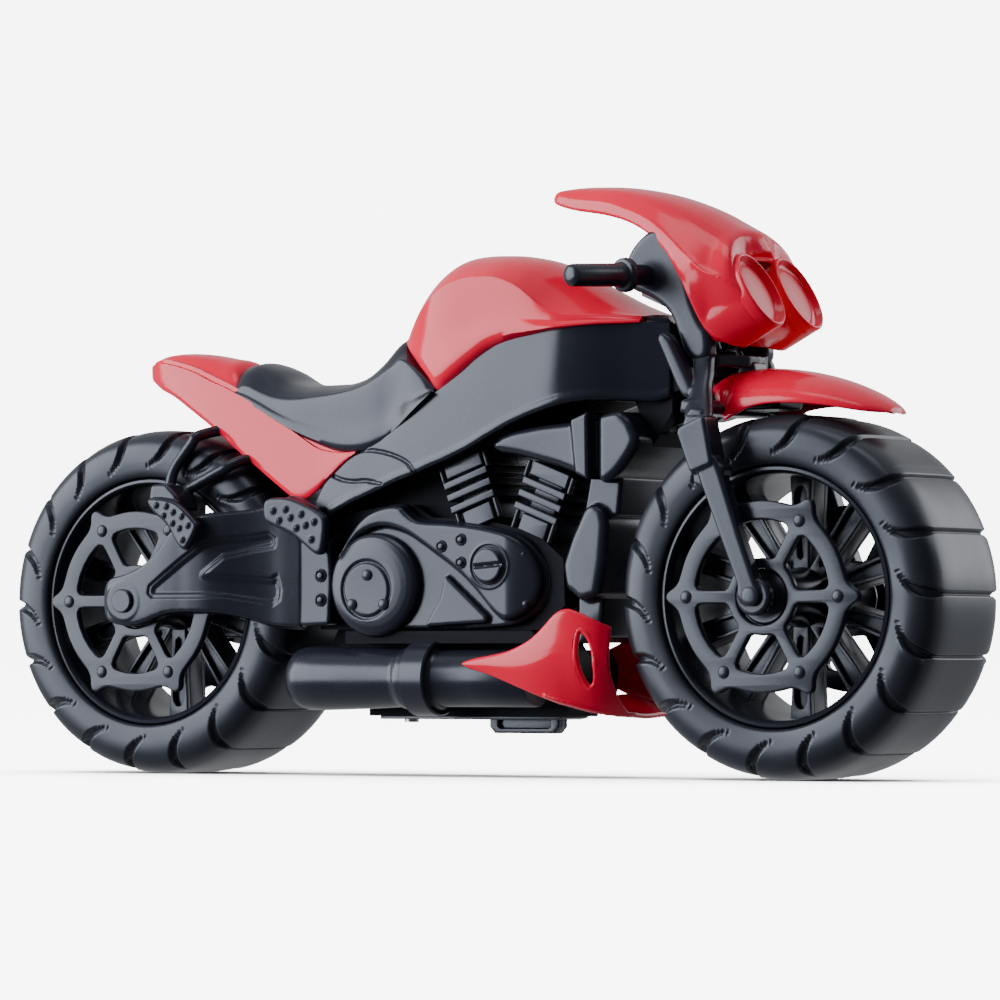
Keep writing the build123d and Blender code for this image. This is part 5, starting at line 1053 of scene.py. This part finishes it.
arm = mould([spline_loft("arm", [arm_sec(t) for t in ARM], 4, 3), rod_y("hub", -HUB_X, HUB_Z, 6.6, -35.2, -29.6, 0.8),
             plate("piv", [(-53.0, 46.0), (-53.4, 58.0), (-53.0, 72.6), (-42.2, 72.6), (-41.4, 60.0), (-42.2, 46.4)], -24.8, -18.0, 0.9, rnd=1.2)], 0.38, 2)
PAN = [(-103.0, 56.4), (-102.6, 58.4), (-91.6, 66.6), (-84.0, 71.8), (-78.0, 73.2), (-69.6, 73.6), (-63.4, 74.6), (-61.4, 73.0), (-61.6, 70.6), (-68.0, 69.4), (-77.6, 67.2), (-84.0, 62.0), (-72.0, 61.0), (-62.6, 60.4), (-60.6, 61.6), (-59.6, 57.0), (-60.0, 54.2),
       (-62.0, 52.8), (-68.6, 53.8), (-77.6, 55.2), (-101.6, 55.2)]
sink(arm, PAN, 1.1, 1.5, -1)
engrave(arm, PAN, 0.8, 0.5, side=-1, closed=True)
put(arm, "v_swingarm_right", "chassis", BLACK, ("swingarm_right",), None)
gb = [(-125.6, 54), (-123.5, 61), (-118.0, 66.2), (-108.5, 70.5), (-103.0, 76.0), (-97.0, 79.6), (-90.0, 80.6), (-66.0, 80.6), (-56.0, 78.0), (-45.0, 73.4), (-41.6, 70.4), (-41.6, 58.0), (-46.0, 49.4), (-62.0, 48.6), (-80.0, 49.2), (-95.0, 49.6), (-104.0, 44.0), (-113.0, 41.0), (-121.0, 44.0)]
gc = mould([plate("g", catmull(gb, 3), 34.0, 35.3, 0.6), plate("g2", [(x * 0.93 - 6.0, (z - 62) * 0.86 + 62) for x, z in catmull(gb, 3)], 34.4, 36.0, 0.7)], 0.4, 3)
sink(gc, [(x, z) for x, z in [(-103.0, 58.0), (-92.0, 66.6), (-84.0, 71.6), (-66.0, 73.4), (-58, 70), (-56.0, 60.0), (-60.0, 54.2), (-78.0, 55.2), (-101.6, 55.4)]], 0.9, 1.4, 1)
put(gc, "v_gearbox_cover", "chassis", BLACK, ("gearbox_cover",), None)
sb = []
for s, y in ((-1, 35.5), (1, 35.9)):
    sb.append(revolve("b", [(y - 0.8, 0.0001), (y - 0.8, 3.7), (y + 0.6, 3.7), (y + 1.0, 3.3), (y + 1.05, 0.0001)], (-HUB_X, 0, HUB_Z), (0, s, 0), 48))
for z in (61.5, 54.0):
    sb.append(revolve("b", [(24.4, 0.0001), (24.4, 2.2), (25.1, 2.1), (25.4, 1.6), (25.0, 1.2), (25.6, 0.9), (25.8, 0.0001)], (-45.2, 0, z), (0, -1, 0), 32))
for x, z in ((-104.5, 71.6), (-60.0, 77.0), (-106.5, 46.4), (-50.0, 52.0), (-81.0, 51.2)):
    sb.append(dome_y("b", x, z, 1.5, 35.3, 0.9, 1))
put(join(sb), "v_swingarm_bolts", "chassis", BLACK, ("swingarm_bolts",), 40)

# ------------------------------------------------------------------ foot plates
def pads(o, pts, r, dep, s):
    co, nn = verts(o)
    P = co[:, [0, 2]]
    d = np.zeros(len(P))
    for x, z in pts:
        t = np.hypot(P[:, 0] - x, P[:, 1] - z)
        w = np.clip(1 - t / r, 0, 1)
        d += dep * (w * w * (3 - 2 * w))
    co[:, 1] += s * d * (nn[:, 1] * s > 0.35)
    setv(o, co)


FM = [(-62.8, 85.0), (-63.6, 80.2), (-61.6, 77.5), (-53.0, 74), (-46.0, 69), (-43.4, 67.8), (-41.4, 69.6), (-40.4, 77.6), (-42.6, 80.6), (-49.0, 83.6), (-55.0, 85.4)]
fmr = mould([plate("f", catmull(FM, 3), -29.8, -26.0, 1.1), plate("f2", [(-60, 81.5), (-46, 76.5), (-44, 82.5), (-56, 86.5)], -27.0, -20.5, 0.8, rnd=1.2)], 0.4, 3)
pads(fmr, [(-59.6, 81.6), (-57.4, 78.6), (-55.0, 82.0), (-53.2, 79.4), (-51.0, 76.2), (-49.2, 80.4), (-47.6, 77.0), (-45.4, 72.6), (-44.4, 78.0)], 1.35, 0.8, -1)
fml = mirror_copy(fmr, "fml")
put(join([fmr, fml]), "v_rider_footplates", "chassis", BLACK, ("rider_footplates",), None)
FR = [(-101.2, 85.4), (-96.0, 85.6), (-89.6, 84.0), (-83.4, 78.8), (-82.2, 76.4), (-85.6, 70.6), (-87.3, 69.6), (-89.8, 71.4), (-93.8, 77.4), (-99.4, 81.8)]
REST1 = [(-99.6, -29.4, 85.4), (-100.4, -27.4, 89.3), (-99.8, -25.4, 95.4), (-94.6, -23.6, 103.1), (-93.6, -22.6, 105.2), (-91.5, -17.5, 106.8), (-87.6, -11.8, 108.2), (-84.0, -8.4, 109.4)]
REST2 = [(-97.6, -29.4, 85.8), (-94.2, -26.6, 88.5), (-84.0, -24.8, 93.8), (-80.5, -23.8, 95.6), (-78.0, -20.0, 97.6), (-75.5, -16.5, 97.8), (-70.0, -12.0, 97.6), (-66.0, -8.4, 97.6)]
frr = mould([plate("f", catmull(FR, 3), -38.8, -35.5, 1.1), plate("n", [(-102.4, 84.2), (-96.0, 82.2), (-89.6, 82.0), (-91.4, 86.4), (-95.6, 90.2), (-101.6, 90.0)], -36.4, -25.6, 1.1, rnd=1.4),
             tube("a1", catmull(REST1, 4, False), 1.75, 20), tube("a2", catmull(REST2, 4, False), 1.75, 20)], 0.38, 2)
pads(frr, [(-97.4, 83.6), (-93.6, 83.2), (-94.6, 80.4), (-91.0, 81.4), (-91.2, 78.0), (-87.8, 80.0), (-88.6, 76.4), (-85.4, 77.2), (-87.4, 72.8)], 1.2, 0.7, -1)
frl = mirror_copy(frr, "frl")
put(join([frr, frl]), "v_pillion_footrests", "chassis", BLACK, ("pillion_footrests",), None)

# ------------------------------------------------------------------ belly loop on the battery door
TAB = [(2.0, 18.4), (2.0, 15.2), (3.8, 13.2), (25.2, 13.2), (27.0, 15.2), (27.0, 18.4)]
REC = [(5.2, 15.5), (5.9, 14.9), (23.1, 14.9), (23.8, 15.5), (23.8, 17.0), (23.1, 17.5), (5.9, 17.5), (5.2, 17.0)]
loop = join([plate("tab", TAB, -1.2, 1.2, 0.2), plate("tab", TAB, -2.6, -1.1, 0.5, holes=[REC]), plate("tab", TAB, 1.1, 2.6, 0.5, holes=[REC])])
door = plate("door", [(-34.4, 17.4), (28.4, 17.4), (31.0, 17.9), (31.0, 18.4), (-34.4, 18.4)], -8.0, 8.0, 0.2)
put(join([loop, door]), "v_battery_door", "chassis", BLACK, ("battery_door",), 40)

# ------------------------------------------------------------------ stage, camera, light
fl = bpy.data.meshes.new("floor")
fl.from_pydata([(-30, -30, 0), (30, -30, 0), (30, 30, 0), (-30, 30, 0)], [], [(0, 1, 2, 3)])
floor = bpy.data.objects.new("floor", fl)
bpy.context.scene.collection.objects.link(floor)
fm_ = bpy.data.materials.new("floor_paper")
nt, b = nodes_of(fm_)
nz = nt.nodes.new("ShaderNodeTexNoise")
nz.inputs["Scale"].default_value = 3
rp = nt.nodes.new("ShaderNodeValToRGB")
rp.color_ramp.elements[0].color = (0.89, 0.89, 0.89, 1)
rp.color_ramp.elements[1].color = (0.91, 0.91, 0.91, 1)
nt.links.new(nz.outputs["Fac"], rp.inputs["Fac"])
nt.links.new(rp.outputs["Color"], b.inputs["Base Color"])
b.inputs["Roughness"].default_value = 1.0
b.inputs["Specular IOR Level"].default_value = 0.0
floor.data.materials.append(fm_)
floor.visible_diffuse = False
floor.visible_glossy = False

cam_d = bpy.data.cameras.new("cam")
cam = bpy.data.objects.new("cam", cam_d)
bpy.context.scene.collection.objects.link(cam)
cam_d.sensor_width = 36
cam_d.lens = 210.448
cam_d.clip_end = 60
A_, Pp = rad(32.306962), rad(-1.616697)
back = Vector((sin(A_) * cos(Pp), -cos(A_) * cos(Pp), sin(Pp)))
cam.location = (0.96093, -1.51298, 0.03404)
cam.rotation_euler = back.to_track_quat("Z", "Y").to_euler()
bpy.context.scene.camera = cam


def area(name, loc, target, sx, sy, radiance, col=(1, 1, 1)):
    d = bpy.data.lights.new(name, "AREA")
    d.shape = "RECTANGLE"
    d.size, d.size_y = sx, sy
    d.energy = radiance * pi * sx * sy
    d.color = col
    o = bpy.data.objects.new(name, d)
    bpy.context.scene.collection.objects.link(o)
    o.location = loc
    o.rotation_euler = (Vector(loc) - Vector(target)).to_track_quat("Z", "Y").to_euler()
    return o


def polar(az, el, dist):
    return (dist * cos(rad(el)) * cos(rad(az)), dist * cos(rad(el)) * sin(rad(az)), dist * sin(rad(el)) + 0.09)


T = (0, 0, 0.09)
area("key_left", polar(-137, 14, 2.3), T, 2.1, 1.9, 7.2)
area("top_strip", polar(-70, 74, 2.2), T, 1.5, 0.7, 2.8)
area("back_right", polar(54, 20, 2.3), T, 1.7, 1.4, 3.2)

FLOOR_LEVEL = 7.0
sun_d = bpy.data.lights.new("floor_wash", "SUN")
sun_d.energy = FLOOR_LEVEL / 0.9 * pi
sun_d.angle = rad(75)
sun = bpy.data.objects.new("floor_wash", sun_d)
bpy.context.scene.collection.objects.link(sun)
only = bpy.data.collections.new("only_floor")
only.objects.link(floor)
sun.light_linking.receiver_collection = only

w = bpy.data.worlds.new("w")
bpy.context.scene.world = w
w.use_nodes = True
nt = w.node_tree
for n in list(nt.nodes):
    nt.nodes.remove(n)
N, L = nt.nodes.new, nt.links.new
out = N("ShaderNodeOutputWorld")
bg1, bg2, mx = N("ShaderNodeBackground"), N("ShaderNodeBackground"), N("ShaderNodeMixShader")
tc, dt, rg, lp_ = N("ShaderNodeTexCoord"), N("ShaderNodeVectorMath"), N("ShaderNodeMapRange"), N("ShaderNodeLightPath")
dt.operation = "DOT_PRODUCT"
dt.inputs[1].default_value = (0.60, -0.78, -0.12)
L(tc.outputs["Generated"], dt.inputs[0])
rg.interpolation_type = "SMOOTHSTEP"
rg.inputs["From Min"].default_value = -0.35
rg.inputs["From Max"].default_value = 0.65
rg.inputs["To Min"].default_value = 0.66
rg.inputs["To Max"].default_value = 0.12
L(dt.outputs["Value"], rg.inputs["Value"])
L(rg.outputs["Result"], bg1.inputs["Strength"])
bg2.inputs["Strength"].default_value = FLOOR_LEVEL
bg1.inputs["Color"].default_value = (0.96, 0.98, 1.0, 1)
bg2.inputs["Color"].default_value = (1, 1, 1, 1)
L(lp_.outputs["Is Camera Ray"], mx.inputs[0])
L(bg1.outputs[0], mx.inputs[1])
L(bg2.outputs[0], mx.inputs[2])
L(mx.outputs[0], out.inputs[0])
